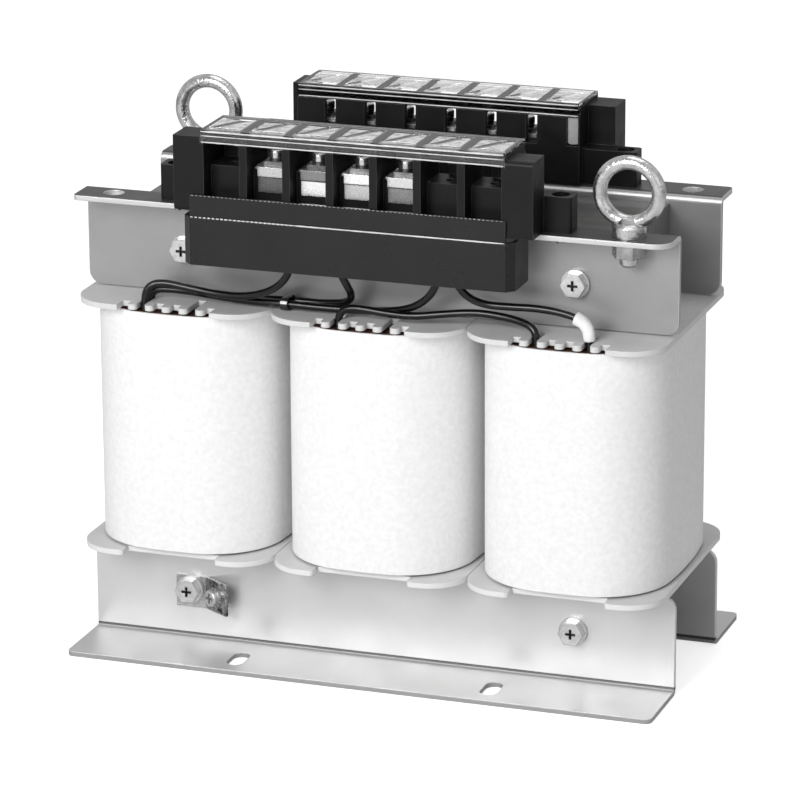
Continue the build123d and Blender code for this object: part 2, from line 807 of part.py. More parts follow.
def make_terminals(layout, poles):
    """Bent metal plates on the pedestals, each with a thicker jaw at its front."""
    pedestal_top = flange_top + pedestal_height
    plate_front = pedestal_front + terminal_sheet
    jaw_front = plate_front + terminal_jaw_step
    plate_top = pedestal_top + terminal_sheet
    with BuildPart() as terminals:
        for x, y in pole_points(layout, poles, terminal_screw_y):
            with BuildSketch(Plane.YZ.offset(x - terminal_width / 2)):
                with Locations((-(plate_front + terminal_rear) / 2, pedestal_top + terminal_sheet / 2)):
                    Rectangle(plate_front - terminal_rear, terminal_sheet)
            extrude(amount=terminal_width)
            with BuildSketch(Plane.YZ.offset(x - terminal_leg_width / 2)):
                with BuildLine():
                    Polyline(
                        (-pedestal_front, plate_top),
                        (-pedestal_front, plate_top - terminal_leg_drop),
                        (-plate_front, plate_top - terminal_leg_drop),
                        (-plate_front, plate_top - terminal_jaw_height),
                        (-jaw_front, plate_top - terminal_jaw_height + terminal_jaw_step),
                        (-jaw_front, plate_top),
                        close=True,
                    )
                make_face()
            extrude(amount=terminal_leg_width)
        with BuildSketch(Plane.XY.offset(pedestal_top)):
            with Locations(*pole_points(layout, poles, terminal_screw_y)):
                Circle(terminal_screw / 2 + terminal_hole_clearance)
        extrude(amount=terminal_sheet, mode=Mode.SUBTRACT)
    return terminals


def make_terminal_washers(layout, poles):
    """A square washer with a round spring washer on it, under each screw head."""
    seat = flange_top + pedestal_height + terminal_sheet
    points = pole_points(layout, poles, terminal_screw_y)
    bore = terminal_screw / 2 + terminal_hole_clearance
    with BuildPart() as washers:
        with BuildSketch(Plane.XY.offset(seat)):
            with Locations(*points):
                Rectangle(square_washer, square_washer)
                Circle(bore, mode=Mode.SUBTRACT)
        extrude(amount=square_washer_thickness)
        with BuildSketch(Plane.XY.offset(seat + square_washer_thickness)):
            with Locations(*points):
                Circle(spring_washer_diameter / 2)
                Circle(bore, mode=Mode.SUBTRACT)
        extrude(amount=spring_washer_thickness)
    return washers


def make_screws(points, seat, tip, shank, head_diameter, head_height):
    """Upright screws with round heads and a cross recess."""
    with BuildPart() as screws:
        with BuildSketch(Plane.XY.offset(seat)):
            with Locations(*points):
                Circle(head_diameter / 2)
        extrude(amount=head_height)
        fillet(screws.edges().group_by(Axis.Z)[-1], head_height * head_rounding)
        with BuildSketch(Plane.XY.offset(seat + head_height)):
            with Locations(*points):
                Rectangle(cross_recess_span, cross_recess_width)
                Rectangle(cross_recess_width, cross_recess_span)
        extrude(amount=-cross_recess_depth, mode=Mode.SUBTRACT)
        with BuildSketch(Plane.XY.offset(tip)):
            with Locations(*points):
                Circle(shank / 2)
        extrude(amount=seat - tip)
    return screws


def make_mount_washers(points, seat):
    """Spring washers under the screws that hold a block."""
    with BuildPart() as washers:
        with BuildSketch(Plane.XY.offset(seat)):
            with Locations(*points):
                Circle(mount_washer_diameter / 2)
                Circle(mount_screw / 2 + ear_hole_clearance, mode=Mode.SUBTRACT)
        extrude(amount=mount_washer_thickness)
    return washers


def make_block(side, layout, poles, first_slit):
    """All the pieces of one block, at the front as drawn or turned to the back."""
    pedestal_top = flange_top + pedestal_height
    washer_stack = terminal_sheet + square_washer_thickness + spring_washer_thickness
    terminal_seat = pedestal_top + washer_stack
    terminal_tip = pedestal_top - terminal_screw_depth + terminal_tip_room
    mount_points = [(x, -mount_screw_y) for x in block_span(*layout)[2]]
    mount_seat = flange_top + ear_height - ear_bore_depth
    pieces = {
        "block_body": make_block_body(layout, first_slit),
        "block_lid": make_lid(layout),
        "terminals": make_terminals(layout, poles),
        "terminal_washers": make_terminal_washers(layout, poles),
        "terminal_screws": make_screws(
            pole_points(layout, poles, terminal_screw_y),
            terminal_seat,
            terminal_tip,
            terminal_screw,
            terminal_head_diameter,
            terminal_head_height,
        ),
        "mount_washers": make_mount_washers(mount_points, mount_seat),
        "mount_screws": make_screws(
            mount_points,
            mount_seat + mount_washer_thickness,
            flange_bottom - mount_screw_overrun,
            mount_screw,
            mount_head_diameter,
            mount_head_height,
        ),
    }
    for name, piece in pieces.items():
        if side == "front":
            finish(piece, f"{side}_{name}")
        else:
            turned(piece, f"{side}_{name}")


front_poles = range(front_first_fitted, front_last_fitted + 1)
back_poles = range(back_first_fitted, back_last_fitted + 1)
make_block("front", front_layout, front_poles, front_first_slit)
make_block("back", back_layout, back_poles, back_first_slit)

# Front cover: a band below the block that hides the lead ends, with a thinner upper edge
cover_front = block_front + cover_wall
cover_bottom = flange_top - cover_bottom_drop
cover_band_top = flange_top - cover_band_drop
cover_inset = cover_wall * math.tan(math.pi / 8)
cover_turn = -cover_front + cover_corner
with BuildPart() as front_cover:
    with BuildSketch(Plane.XY.offset(cover_bottom)):
        with BuildLine():
            Polyline(
                (cover_left, -cover_rear),
                (cover_left, cover_turn),
                (cover_left + cover_corner, -cover_front),
                (cover_right - cover_corner, -cover_front),
                (cover_right, cover_turn),
                (cover_right, -cover_rear),
                (cover_right - cover_wall, -cover_rear),
                (cover_right - cover_wall, cover_turn + cover_inset),
                (cover_right - cover_corner - cover_inset, -block_front),
                (cover_left + cover_corner + cover_inset, -block_front),
                (cover_left + cover_wall, cover_turn + cover_inset),
                (cover_left + cover_wall, -cover_rear),
                close=True,
            )
        make_face()
    extrude(amount=cover_band_top - cover_bottom)
    flange_edge = web_face + flange_depth + cover_flange_gap
    flange_room = flange_bottom - cover_flange_gap
    with BuildSketch(Plane.XY.offset(flange_room)):
        with Locations(((cover_left + cover_right) / 2, -(flange_edge + cover_rear) / 2)):
            Rectangle(cover_right - cover_left, flange_edge - cover_rear)
    extrude(amount=cover_band_top - flange_room, mode=Mode.SUBTRACT)
    chamfer(edge_near(front_cover, Axis.X, (0, -cover_front, cover_band_top)), cover_edge_bevel)
    upper_left = cover_left + cover_corner
    upper_right = cover_right - cover_corner
    with BuildSketch(Plane.XY.offset(cover_band_top)):
        with Locations(((upper_left + upper_right) / 2, -block_front - cover_upper_wall / 2)):
            Rectangle(upper_right - upper_left, cover_upper_wall)
    extrude(amount=cover_band_drop + cover_upper_height)
finish(front_cover, "front_cover")


# Leads from the front cover to the coils, each held at both ends by the object
def route_radii(points):
    """The largest arc that each corner of a route takes without crowding its runs."""
    corners = [Vector(*point) for point in points]
    radii = []
    for before, corner, after in zip(corners, corners[1:], corners[2:]):
        first = corner - before
        second = after - corner
        half_turn = math.radians(first.get_angle(second)) / 2
        radii.append(arc_share * min(first.length, second.length) / math.tan(half_turn))
    return radii


def make_lead(label, points):
    """A round lead swept along straight runs joined by tangent arcs."""
    radii = route_radii(points)
    with BuildPart() as lead:
        with BuildLine() as path:
            FilletPolyline(*points, radius=radii)
        wire = path.wires()[0]
        with BuildSketch(Plane(wire @ 0, z_dir=wire % 0)):
            Circle(lead_diameter / 2)
        sweep(path=wire)
    expected = wire.length * math.pi * (lead_diameter / 2) ** 2
    print("length", round(wire.length, 1), "radii", [round(r, 1) for r in radii])
    print("volume against section times length", round(lead.part.volume / expected, 4))
    finish(lead, label)


# Each route starts under the block and ends on top of a winding, in a deep slot of a former
lead_top = flange_top
route_left_outer = [
    (-31, -57.5, lead_top),
    (-31, -57.5, 198.5),
    (-32.4, -56.2, 188),
    (-37.3, -54.4, 179.3),
    (-46, -53.2, 173.5),
    (-58, -52.7, 170.7),
    (-71, -51.9, 170.9),
    (-83.5, -51.7, 172.4),
    (-94, -52.2, 174),
    (-100.5, -53.4, 173),
    (-103, -54.6, 168.2),
    (-103, -54.6, coil_top),
]
route_left_inner = [
    (-13, -57.5, lead_top),
    (-13, -57.5, 198.5),
    (-11, -55.8, 188.5),
    (-8.2, -53, 180.8),
    (-7, -49.4, 175.2),
    (-9.2, -45.9, 171.5),
    (-14.5, -43.4, 169.2),
    (-25, -42.4, 168.1),
    (-40, -42.6, 168.2),
    (-55, -42.4, 167.6),
    (-70, -42.4, 168),
    (-83, -42.4, 168.7),
    (-93.5, -42.8, 168.9),
    (-100, -44, 168.5),
    (-102.5, -46.2, 167.2),
    (-103, -47.5, 164.9),
    (-103, -47.5, coil_top),
]
route_left_middle = [
    (37, -57.5, lead_top),
    (37, -57.5, 198.5),
    (35.5, -56, 187.8),
    (30, -53.5, 178),
    (20, -50, 171.3),
    (7, -48, 168.6),
    (-8, -48.1, 168),
    (-24, -48.4, 167.8),
    (-40, -48.5, 168.2),
    (-55, -47.8, 167.6),
    (-70, -47.2, 168.3),
    (-83, -47, 169.4),
    (-93.5, -47.5, 169.8),
    (-100.2, -48.8, 169.6),
    (-102.6, -50.4, 167.9),
    (-103, -51.05, 165),
    (-103, -51.05, coil_top),
]
route_right_sleeved = [
    (41, -57.5, lead_top),
    (41, -57.5, 198.5),
    (42.5, -56, 188),
    (47, -54, 180.6),
    (55, -52.3, 177),
    (67, -51, 176.8),
    (79, -50.2, 177),
    (90.5, -50.2, 175.9),
    (98, -51, 173.9),
    (101.8, -52.3, 171.2),
    (103, -53.8, 167.5),
    (103, -53.8, coil_top),
]
route_bridge = [
    (-12, -53.6, coil_top),
    (-12, -53.6, 166),
    (-9.4, -53.2, 169.8),
    (-2.5, -53, 170.6),
    (9, -53, 169.4),
    (22, -53.2, 169),
    (36, -51.5, 171),
    (50, -50, 172.6),
    (62, -50.2, 172),
    (71.5, -51.4, 170.8),
    (77, -52.8, 169),
    (79, -53.8, 165.8),
    (79, -53.8, coil_top),
]
make_lead("lead_left_outer", route_left_outer)
make_lead("lead_left_inner", route_left_inner)
make_lead("lead_left_middle", route_left_middle)
make_lead("lead_right_sleeved", route_right_sleeved)
make_lead("lead_bridge", route_bridge)

# White sleeve over the end of one lead, from the middle of a run down to the flange
sleeve_start = (Vector(*route_right_sleeved[-5]) + Vector(*route_right_sleeved[-4])) / 2
sleeve_corners = [tuple(sleeve_start)] + route_right_sleeved[-4:]
with BuildPart() as lead_sleeve:
    with BuildLine() as sleeve_path:
        FilletPolyline(*sleeve_corners, radius=route_radii(route_right_sleeved)[-3:])
    sleeve_wire = sleeve_path.wires()[0]
    with BuildSketch(Plane(sleeve_wire @ 0, z_dir=sleeve_wire % 0)):
        Circle(sleeve_diameter / 2)
        Circle(lead_diameter / 2 + sleeve_clearance, mode=Mode.SUBTRACT)
    sweep(path=sleeve_wire)
    split(bisect_by=Plane.XY.offset(window_top), keep=Keep.TOP)
finish(lead_sleeve, "lead_sleeve")

# A band round the two leads that run side by side to the left coil
tied_inner = route_left_inner[8]
tied_middle = route_left_middle[8]
tie_spacing = tied_inner[1] - tied_middle[1]
with BuildPart() as lead_tie:
    with BuildSketch(Plane.YZ.offset(tied_inner[0] - tie_width / 2)):
        with Locations(((tied_inner[1] + tied_middle[1]) / 2, tied_inner[2])):
            SlotCenterToCenter(tie_spacing, lead_diameter + 2 * (tie_clearance + tie_thickness))
            SlotCenterToCenter(tie_spacing, lead_diameter + 2 * tie_clearance, mode=Mode.SUBTRACT)
    extrude(amount=tie_width)
finish(lead_tie, "lead_tie")
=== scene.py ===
# %% [markdown]
# # An open isolation transformer, dressed over its CAD frame
# The CAD model gives every rigid piece its size and place. This script adds what the CAD
# can't hold: the finish of each surface, the soft leads with their sleeve and tie, and the
# fine ribs, label fields and beads of the terminal blocks.
# Units are metres. +X runs along the coils, -Y is the front and +Z is up.

import math

import bmesh
import bpy
from mathutils import Matrix, Vector


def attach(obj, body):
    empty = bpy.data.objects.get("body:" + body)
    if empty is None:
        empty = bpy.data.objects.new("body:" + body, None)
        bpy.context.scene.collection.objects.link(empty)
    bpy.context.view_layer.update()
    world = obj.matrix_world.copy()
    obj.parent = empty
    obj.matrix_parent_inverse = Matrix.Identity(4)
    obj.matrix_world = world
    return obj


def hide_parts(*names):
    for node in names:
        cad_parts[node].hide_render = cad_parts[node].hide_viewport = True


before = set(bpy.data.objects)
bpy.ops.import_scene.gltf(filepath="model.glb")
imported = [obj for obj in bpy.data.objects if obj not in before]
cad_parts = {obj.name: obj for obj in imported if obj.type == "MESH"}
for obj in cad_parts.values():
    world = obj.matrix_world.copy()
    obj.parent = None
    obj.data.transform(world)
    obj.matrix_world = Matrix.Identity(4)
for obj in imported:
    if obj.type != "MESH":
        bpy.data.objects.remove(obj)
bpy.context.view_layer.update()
scene = bpy.context.scene
scene.view_settings.view_transform = "Standard"

# %% [markdown]
# ## The camera
# The photograph was taken from the front, a little to the right and a little above, with a
# long lens. The numbers come from matching corners of the brackets, the coil formers and
# the blocks with their places in the picture. A small roll makes the uprights lean as they
# do there. A long lens from two metres keeps the feet nearly parallel, as in the picture.

# %%
# Camera
CAMERA_PLACE = Vector((0.6669, -1.9158, 0.7423))
CAMERA_FORWARD = Vector((-0.31493, 0.90171, -0.29619)).normalized()
CAMERA_ROLL = math.radians(-0.2978)
CAMERA_LENS = 212.106
SENSOR_WIDTH = 36
FAR_CLIP = 50

level_right = CAMERA_FORWARD.cross(Vector((0, 0, 1))).normalized()
level_up = level_right.cross(CAMERA_FORWARD)
right = level_right * math.cos(CAMERA_ROLL) + level_up * math.sin(CAMERA_ROLL)
up = right.cross(CAMERA_FORWARD)
camera_data = bpy.data.cameras.new("camera")
camera_data.lens = CAMERA_LENS
camera_data.sensor_width = SENSOR_WIDTH
camera_data.clip_end = FAR_CLIP
camera = bpy.data.objects.new("camera", camera_data)
camera_axes = Matrix((right, up, -CAMERA_FORWARD)).transposed().to_4x4()
camera.matrix_world = Matrix.Translation(CAMERA_PLACE) @ camera_axes
scene.collection.objects.link(camera)
scene.camera = camera
print("camera", [round(v, 3) for v in CAMERA_PLACE])

# %% [markdown]
# ## Shared effects as node groups
# Several finishes need the same few effects, so each effect is a group with named inputs.
# `Edge Finder` compares the true normal with one that a bevel has rounded. Where they
# differ there is an edge. The rounded normal catches real light there, and the mask lays a
# tone along it: a painted highlight where the tone is pale, painted shade where it is dark.
# `Mottle` is cloudy variation between two values, for colour and roughness.
# `Grain` is fine height, stretched by choice, for rolled, moulded and cast skins.
# `Sheet Lines` are thin parallel lines across one axis, for the stacked core sheets.
# `Cut Edge` finds the upright faces between two heights, such as the sheared edge of a
# flange, and the level ones, such as its top.

# %%
# Groups and nodes
FLOAT = "NodeSocketFloat"
VECTOR = "NodeSocketVector"


def new_group(name, inputs, outputs):
    """An empty shader group with its sockets, and its input and output nodes."""
    group = bpy.data.node_groups.new(name, "ShaderNodeTree")
    for label, kind, default in inputs:
        socket = group.interface.new_socket(name=label, in_out="INPUT", socket_type=kind)
        socket.default_value = default
    for label, kind in outputs:
        group.interface.new_socket(name=label, in_out="OUTPUT", socket_type=kind)
    return group, group.nodes.new("NodeGroupInput"), group.nodes.new("NodeGroupOutput")


def add_node(tree, kind, settings=(), **values):
    """A node with its settings and the values of its sockets, by name."""
    node = tree.nodes.new(kind)
    for key, value in settings:
        setattr(node, key, value)
    for key, value in values.items():
        node.inputs[key.replace("_", " ")].default_value = value
    return node


# %%
# Math between sockets
def math_node(tree, operation, first, second=0.0):
    """A math node whose inputs are sockets or numbers."""
    node = tree.nodes.new("ShaderNodeMath")
    node.operation = operation
    for place, value in enumerate((first, second)):
        if isinstance(value, (int, float)):
            node.inputs[place].default_value = value
        else:
            tree.links.new(value, node.inputs[place])
    return node.outputs[0]


def map_range(tree, value, low, high, new_low, new_high):
    """A value moved from one range to another, held inside it."""
    node = tree.nodes.new("ShaderNodeMapRange")
    tree.links.new(value, node.inputs["Value"])
    limits = zip(("From Min", "From Max", "To Min", "To Max"), (low, high, new_low, new_high))
    for name, limit in limits:
        if isinstance(limit, (int, float)):
            node.inputs[name].default_value = limit
        else:
            tree.links.new(limit, node.inputs[name])
    return node.outputs["Result"]


# %%
# Edge Finder
edge_group, edge_in, edge_out = new_group(
    "Edge Finder",
    [("Radius", FLOAT, 0.0005), ("Sharpness", FLOAT, 6.0)],
    [("Edge", FLOAT), ("Normal", VECTOR)],
)
edge_bevel = add_node(edge_group, "ShaderNodeBevel", [("samples", 4)])
edge_group.links.new(edge_in.outputs["Radius"], edge_bevel.inputs["Radius"])
edge_geometry = add_node(edge_group, "ShaderNodeNewGeometry")
edge_dot = add_node(edge_group, "ShaderNodeVectorMath", [("operation", "DOT_PRODUCT")])
edge_group.links.new(edge_bevel.outputs["Normal"], edge_dot.inputs[0])
edge_group.links.new(edge_geometry.outputs["Normal"], edge_dot.inputs[1])
edge_turn = math_node(edge_group, "SUBTRACT", 1.0, edge_dot.outputs["Value"])
edge_strength = math_node(edge_group, "MULTIPLY", edge_turn, edge_in.outputs["Sharpness"])
edge_mask = map_range(edge_group, edge_strength, 0.05, 1.0, 0.0, 1.0)
edge_group.links.new(edge_mask, edge_out.inputs["Edge"])
edge_group.links.new(edge_bevel.outputs["Normal"], edge_out.inputs["Normal"])
print("group", edge_group.name)

# %%
# Mottle
mottle_group, mottle_in, mottle_out = new_group(
    "Mottle",
    [("Scale", FLOAT, 60.0), ("Detail", FLOAT, 4.0), ("Low", FLOAT, 0.0), ("High", FLOAT, 1.0)],
    [("Value", FLOAT)],
)
mottle_place = add_node(mottle_group, "ShaderNodeTexCoord")
mottle_noise = add_node(mottle_group, "ShaderNodeTexNoise", Roughness=0.6)
mottle_group.links.new(mottle_place.outputs["Object"], mottle_noise.inputs["Vector"])
mottle_group.links.new(mottle_in.outputs["Scale"], mottle_noise.inputs["Scale"])
mottle_group.links.new(mottle_in.outputs["Detail"], mottle_noise.inputs["Detail"])
mottle_value = map_range(
    mottle_group, mottle_noise.outputs["Fac"], 0.3, 0.7,
    mottle_in.outputs["Low"], mottle_in.outputs["High"],
)
mottle_group.links.new(mottle_value, mottle_out.inputs["Value"])
print("group", mottle_group.name)

# %%
# Grain
grain_group, grain_in, grain_out = new_group(
    "Grain",
    [("Stretch", VECTOR, (1.0, 1.0, 1.0)), ("Scale", FLOAT, 900.0), ("Depth", FLOAT, 0.1)],
    [("Height", FLOAT)],
)
grain_place = add_node(grain_group, "ShaderNodeTexCoord")
grain_stretch = add_node(grain_group, "ShaderNodeVectorMath", [("operation", "MULTIPLY")])
grain_group.links.new(grain_place.outputs["Object"], grain_stretch.inputs[0])
grain_group.links.new(grain_in.outputs["Stretch"], grain_stretch.inputs[1])
grain_noise = add_node(grain_group, "ShaderNodeTexNoise", Detail=3.0, Roughness=0.55)
grain_group.links.new(grain_stretch.outputs["Vector"], grain_noise.inputs["Vector"])
grain_group.links.new(grain_in.outputs["Scale"], grain_noise.inputs["Scale"])
grain_depth = grain_in.outputs["Depth"]
grain_height = math_node(grain_group, "MULTIPLY", grain_noise.outputs["Fac"], grain_depth)
grain_group.links.new(grain_height, grain_out.inputs["Height"])
print("group", grain_group.name)

# %%
# Sheet Lines
def surface_point(tree):
    """The X, Y and Z sockets of the place on the surface, along the object's own axes."""
    place = add_node(tree, "ShaderNodeTexCoord")
    split = add_node(tree, "ShaderNodeSeparateXYZ")
    tree.links.new(place.outputs["Object"], split.inputs["Vector"])
    return split.outputs


def distance_from(tree, value, middle):
    """How far a value lies from a middle, to either side."""
    return math_node(tree, "ABSOLUTE", math_node(tree, "SUBTRACT", value, middle))


line_group, line_in, line_out = new_group(
    "Sheet Lines",
    [("Pitch", FLOAT, 0.0005), ("Waver", FLOAT, 0.3)],
    [("Height", FLOAT), ("Shade", FLOAT)],
)
line_place = add_node(line_group, "ShaderNodeTexCoord")
line_noise = add_node(line_group, "ShaderNodeTexNoise", Scale=40.0, Detail=2.0)
line_group.links.new(line_place.outputs["Object"], line_noise.inputs["Vector"])
line_depth = surface_point(line_group)["Y"]
line_count = math_node(line_group, "DIVIDE", line_depth, line_in.outputs["Pitch"])
line_waver = math_node(line_group, "MULTIPLY", line_noise.outputs["Fac"], line_in.outputs["Waver"])
line_at = math_node(line_group, "ADD", line_count, line_waver)
line_centre = distance_from(line_group, math_node(line_group, "FRACT", line_at), 0.5)
line_height = map_range(line_group, line_centre, 0.30, 0.5, 1.0, 0.0)
line_group.links.new(line_height, line_out.inputs["Height"])
line_shade = add_node(line_group, "ShaderNodeTexWhiteNoise", [("noise_dimensions", "1D")])
line_group.links.new(math_node(line_group, "FLOOR", line_at), line_shade.inputs["W"])
line_group.links.new(line_shade.outputs["Value"], line_out.inputs["Shade"])
print("group", line_group.name)

# %%
# Cut Edge
def all_of(tree, *masks):
    """A mask that is one only where every given mask is one."""
    joined = masks[0]
    for mask in masks[1:]:
        joined = math_node(tree, "MULTIPLY", joined, mask)
    return joined


UPRIGHT_LIMIT = 0.6
cut_group, cut_in, cut_out = new_group(
    "Cut Edge", [("Low", FLOAT, 0.0), ("High", FLOAT, 1.0)], [("Mask", FLOAT), ("Level", FLOAT)],
)
cut_place = add_node(cut_group, "ShaderNodeTexCoord")
cut_turn = add_node(cut_group, "ShaderNodeSeparateXYZ")
cut_group.links.new(cut_place.outputs["Normal"], cut_turn.inputs["Vector"])
cut_lean = math_node(cut_group, "ABSOLUTE", cut_turn.outputs["Z"])
cut_upright = math_node(cut_group, "LESS_THAN", cut_lean, UPRIGHT_LIMIT)
cut_level = math_node(cut_group, "SUBTRACT", 1.0, cut_upright)
cut_height = surface_point(cut_group)["Z"]
cut_above = math_node(cut_group, "GREATER_THAN", cut_height, cut_in.outputs["Low"])
cut_below = math_node(cut_group, "LESS_THAN", cut_height, cut_in.outputs["High"])
for cut_side, cut_label in ((cut_upright, "Mask"), (cut_level, "Level")):
    cut_mask = all_of(cut_group, cut_above, cut_below, cut_side)
    cut_group.links.new(cut_mask, cut_out.inputs[cut_label])
print("group", cut_group.name)


# %% [markdown]
# ## How a finish is put together
# Every finish is one Principled shader. Its colour runs between two tones through
# `Mottle`, and goes to a third tone on edges: a painted highlight where that tone is pale,
# painted shade where it is dark. Roughness varies the same way on its own scale, so that a
# highlight breaks up a little as on a real surface. The bump is `Grain`, laid over the
# rounded normal of `Edge Finder`, so that sharp CAD edges still catch a thin line of
# light. A finish can be repainted where a mask says so.

# %%
# Colours and groups in a material, with the places of a mix node's colour sockets
FIRST_COLOR = 6
SECOND_COLOR = 7
MIXED_COLOR = 2


def use_group(tree, group, **values):
    """A group node with its inputs set by name."""
    node = tree.nodes.new("ShaderNodeGroup")
    node.node_tree = group
    for key, value in values.items():
        node.inputs[key].default_value = value
    return node


def grey(value, warm=0.0):
    """A neutral colour, a touch warmer or cooler."""
    return (value * (1 + warm), value, value * (1 - warm), 1.0)


def mix_colors(tree, factor, first, second):
    """A colour mix; each side is a colour or a socket."""
    node = add_node(tree, "ShaderNodeMix", [("data_type", "RGBA")])
    tree.links.new(factor, node.inputs["Factor"])
    for place, value in ((FIRST_COLOR, first), (SECOND_COLOR, second)):
        if isinstance(value, tuple):
            node.inputs[place].default_value = value
        else:
            tree.links.new(value, node.inputs[place])
    return node.outputs[MIXED_COLOR]


def new_material(name):
    """An empty material, its node tree and its shader."""
    material = bpy.data.materials.new(name)
    material.use_nodes = True
    return material, material.node_tree, material.node_tree.nodes["Principled BSDF"]


# %%
# One function for the usual finish
ROUGH_TO_CLOUD = 2.3
BUMP_STRENGTH = 0.6


def finish_material(
    name, tones, rough, metallic=0.0, cloud=60.0, grain=(1200.0, 0.1), stretch=(1, 1, 1),
    painted_edge_light=None, edge_radius=0.0005, bump=0.0004, specular=0.5, cut=None, flat=None, fold=None,
):
    """A mottled, grained material. Its tone for edges paints a highlight where pale and shade
    where dark. rough is a low and a high roughness.
    cut, flat and fold are each a low and a high level and a tone: for the cut edges between
    them, for the level faces, and for a line of painted shade inside a bend."""
    material, tree, shader = new_material(name)
    shader.inputs["Metallic"].default_value = metallic
    shader.inputs["Specular IOR Level"].default_value = specular
    cloud_node = use_group(tree, mottle_group, Scale=cloud, Detail=4.0)
    color = mix_colors(tree, cloud_node.outputs["Value"], tones[0], tones[1])
    if cut:
        cut_edge = use_group(tree, cut_group, Low=cut[0], High=cut[1])
        color = mix_colors(tree, cut_edge.outputs["Mask"], color, cut[2])
    if flat:
        flat_face = use_group(tree, cut_group, Low=flat[0], High=flat[1])
        color = mix_colors(tree, flat_face.outputs["Level"], color, flat[2])
    edge = use_group(tree, edge_group, Radius=edge_radius)
    # Painted light on edges: a pale tone paints a highlight there, a dark one paints shade.
    if painted_edge_light:
        color = mix_colors(tree, edge.outputs["Edge"], color, painted_edge_light)
    # Painted shade: a dark line in the crease inside a bend.
    if fold:
        bend = use_group(tree, cut_group, Low=fold[0], High=fold[1])
        color = mix_colors(tree, bend.outputs["Mask"], color, fold[2])
    tree.links.new(color, shader.inputs["Base Color"])
    rough_node = use_group(
        tree, mottle_group, Scale=cloud * ROUGH_TO_CLOUD, Detail=6.0, Low=rough[0], High=rough[1],
    )
    tree.links.new(rough_node.outputs["Value"], shader.inputs["Roughness"])
    grain_node = use_group(tree, grain_group, Stretch=stretch, Scale=grain[0], Depth=grain[1])
    bump_node = add_node(tree, "ShaderNodeBump", Strength=BUMP_STRENGTH, Distance=bump)
    tree.links.new(grain_node.outputs["Height"], bump_node.inputs["Height"])
    tree.links.new(edge.outputs["Normal"], bump_node.inputs["Normal"])
    tree.links.new(bump_node.outputs["Normal"], shader.inputs["Normal"])
    return material


# %%
# A material on CAD nodes
def dress(material, *names):
    """Gives CAD nodes a material in all their slots."""
    for name in names:
        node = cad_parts[name]
        if not node.material_slots:
            node.data.materials.append(material)
        for slot in node.material_slots:
            slot.material = material
    print(material.name, "on", ", ".join(names))


# %% [markdown]
# ## Folded brackets
# The four brackets are folded from zinc plated sheet. It is satin, with a faint rolling
# grain along its length and cloudy plating. The top pair is darker in the photograph than
# the bottom pair, so its tones are deeper: painted shade, as all four are the same sheet.
# On the top pair the flange tops are painted darker still, a painted shade, and the upright
# faces at the flange's height paler, a painted highlight. On the bottom pair the upright
# faces up to the sheet's thickness are darker, and the line inside each fold is painted
# shade. Pale edges on both pairs are a painted highlight. `Cut Edge` finds these faces by
# their height.

# %%
# Brackets
SHEET = 0.0023
FLANGE_TOP_LEVEL = 0.2105
TOUCH = 0.0001
NEAR = 0.0005
BEYOND = 0.001
FOLD_RISE = 0.0016
# Lower pair: painted shade in each fold, a painted highlight on the edges.
zinc_low = finish_material(
    "zinc_sheet_low", (grey(0.62), grey(0.69)), (0.34, 0.46), metallic=0.55, cloud=18.0,
    grain=(700.0, 0.5), stretch=(0.15, 1, 1), painted_edge_light=grey(0.9), edge_radius=0.0007, bump=0.0001,
    cut=(-BEYOND, SHEET + TOUCH, grey(0.40)), fold=(SHEET + TOUCH, SHEET + FOLD_RISE, grey(0.10)),
    flat=(SHEET - NEAR, SHEET + NEAR, grey(0.62)),
)
# Upper pair, a shaded copy: deeper tones and darker flange tops are painted shade; paler upright
# faces at the flange and pale edges are a painted highlight.
zinc_high_shaded = finish_material(
    "zinc_sheet_high_shaded", (grey(0.31), grey(0.37)), (0.36, 0.48), metallic=0.55, cloud=18.0,
    grain=(700.0, 0.5), stretch=(0.15, 1, 1), painted_edge_light=grey(0.9), edge_radius=0.0008, bump=0.0001,
    cut=(FLANGE_TOP_LEVEL - SHEET - TOUCH, FLANGE_TOP_LEVEL + BEYOND, grey(0.62)),
    flat=(FLANGE_TOP_LEVEL - NEAR, FLANGE_TOP_LEVEL + BEYOND, grey(0.08)),
)
dress(zinc_low, "lower_bracket_front", "lower_bracket_back")
dress(zinc_high_shaded, "upper_bracket_front", "upper_bracket_back")

# %% [markdown]
# ## Fasteners and eye bolts
# Small zinc plated steel: smoother than the sheet, so it draws sharper lights and darks.
# The edges of bolts, nuts and washers are painted dark, a painted shade, and those of the
# eye bolts pale, a painted highlight.
# The eye bolts are forged before plating, so they keep a soft, uneven skin. The earth tab
# is blotched near black and pale where it stands out in the photograph, a painted
# reflection, and plain grey where the bolt clamps it.
# The cross recess of each clamp bolt is painted nearly black inside, a painted shade where
# light hardly reaches.
# A mask finds it as the part round the bolt's axis that lies behind the face of the head.
# One bolt lies further out, on the tab, so its face is shifted back before the test.

# %%
# Fasteners
# Painted shade: dark tones on the edges of bolts, nuts and washers.
bolt_zinc = finish_material(
    "bolt_zinc", (grey(0.26), grey(0.44)), (0.18, 0.3), metallic=0.95, cloud=220.0,
    grain=(2500.0, 0.4), painted_edge_light=grey(0.08), edge_radius=0.0004, bump=0.0001,
)
washer_zinc = finish_material(
    "washer_zinc", (grey(0.52), grey(0.72)), (0.28, 0.42), metallic=0.85, cloud=180.0,
    grain=(2500.0, 0.4), painted_edge_light=grey(0.06), edge_radius=0.0005, bump=0.0001,
)
# Painted highlight: a pale tone on the edges of the eye bolts.
eye_zinc = finish_material(
    "eye_zinc", (grey(0.40), grey(0.74)), (0.10, 0.22), metallic=0.95, cloud=260.0,
    grain=(700.0, 1.0), painted_edge_light=grey(0.9), edge_radius=0.0006, bump=0.0004,
)
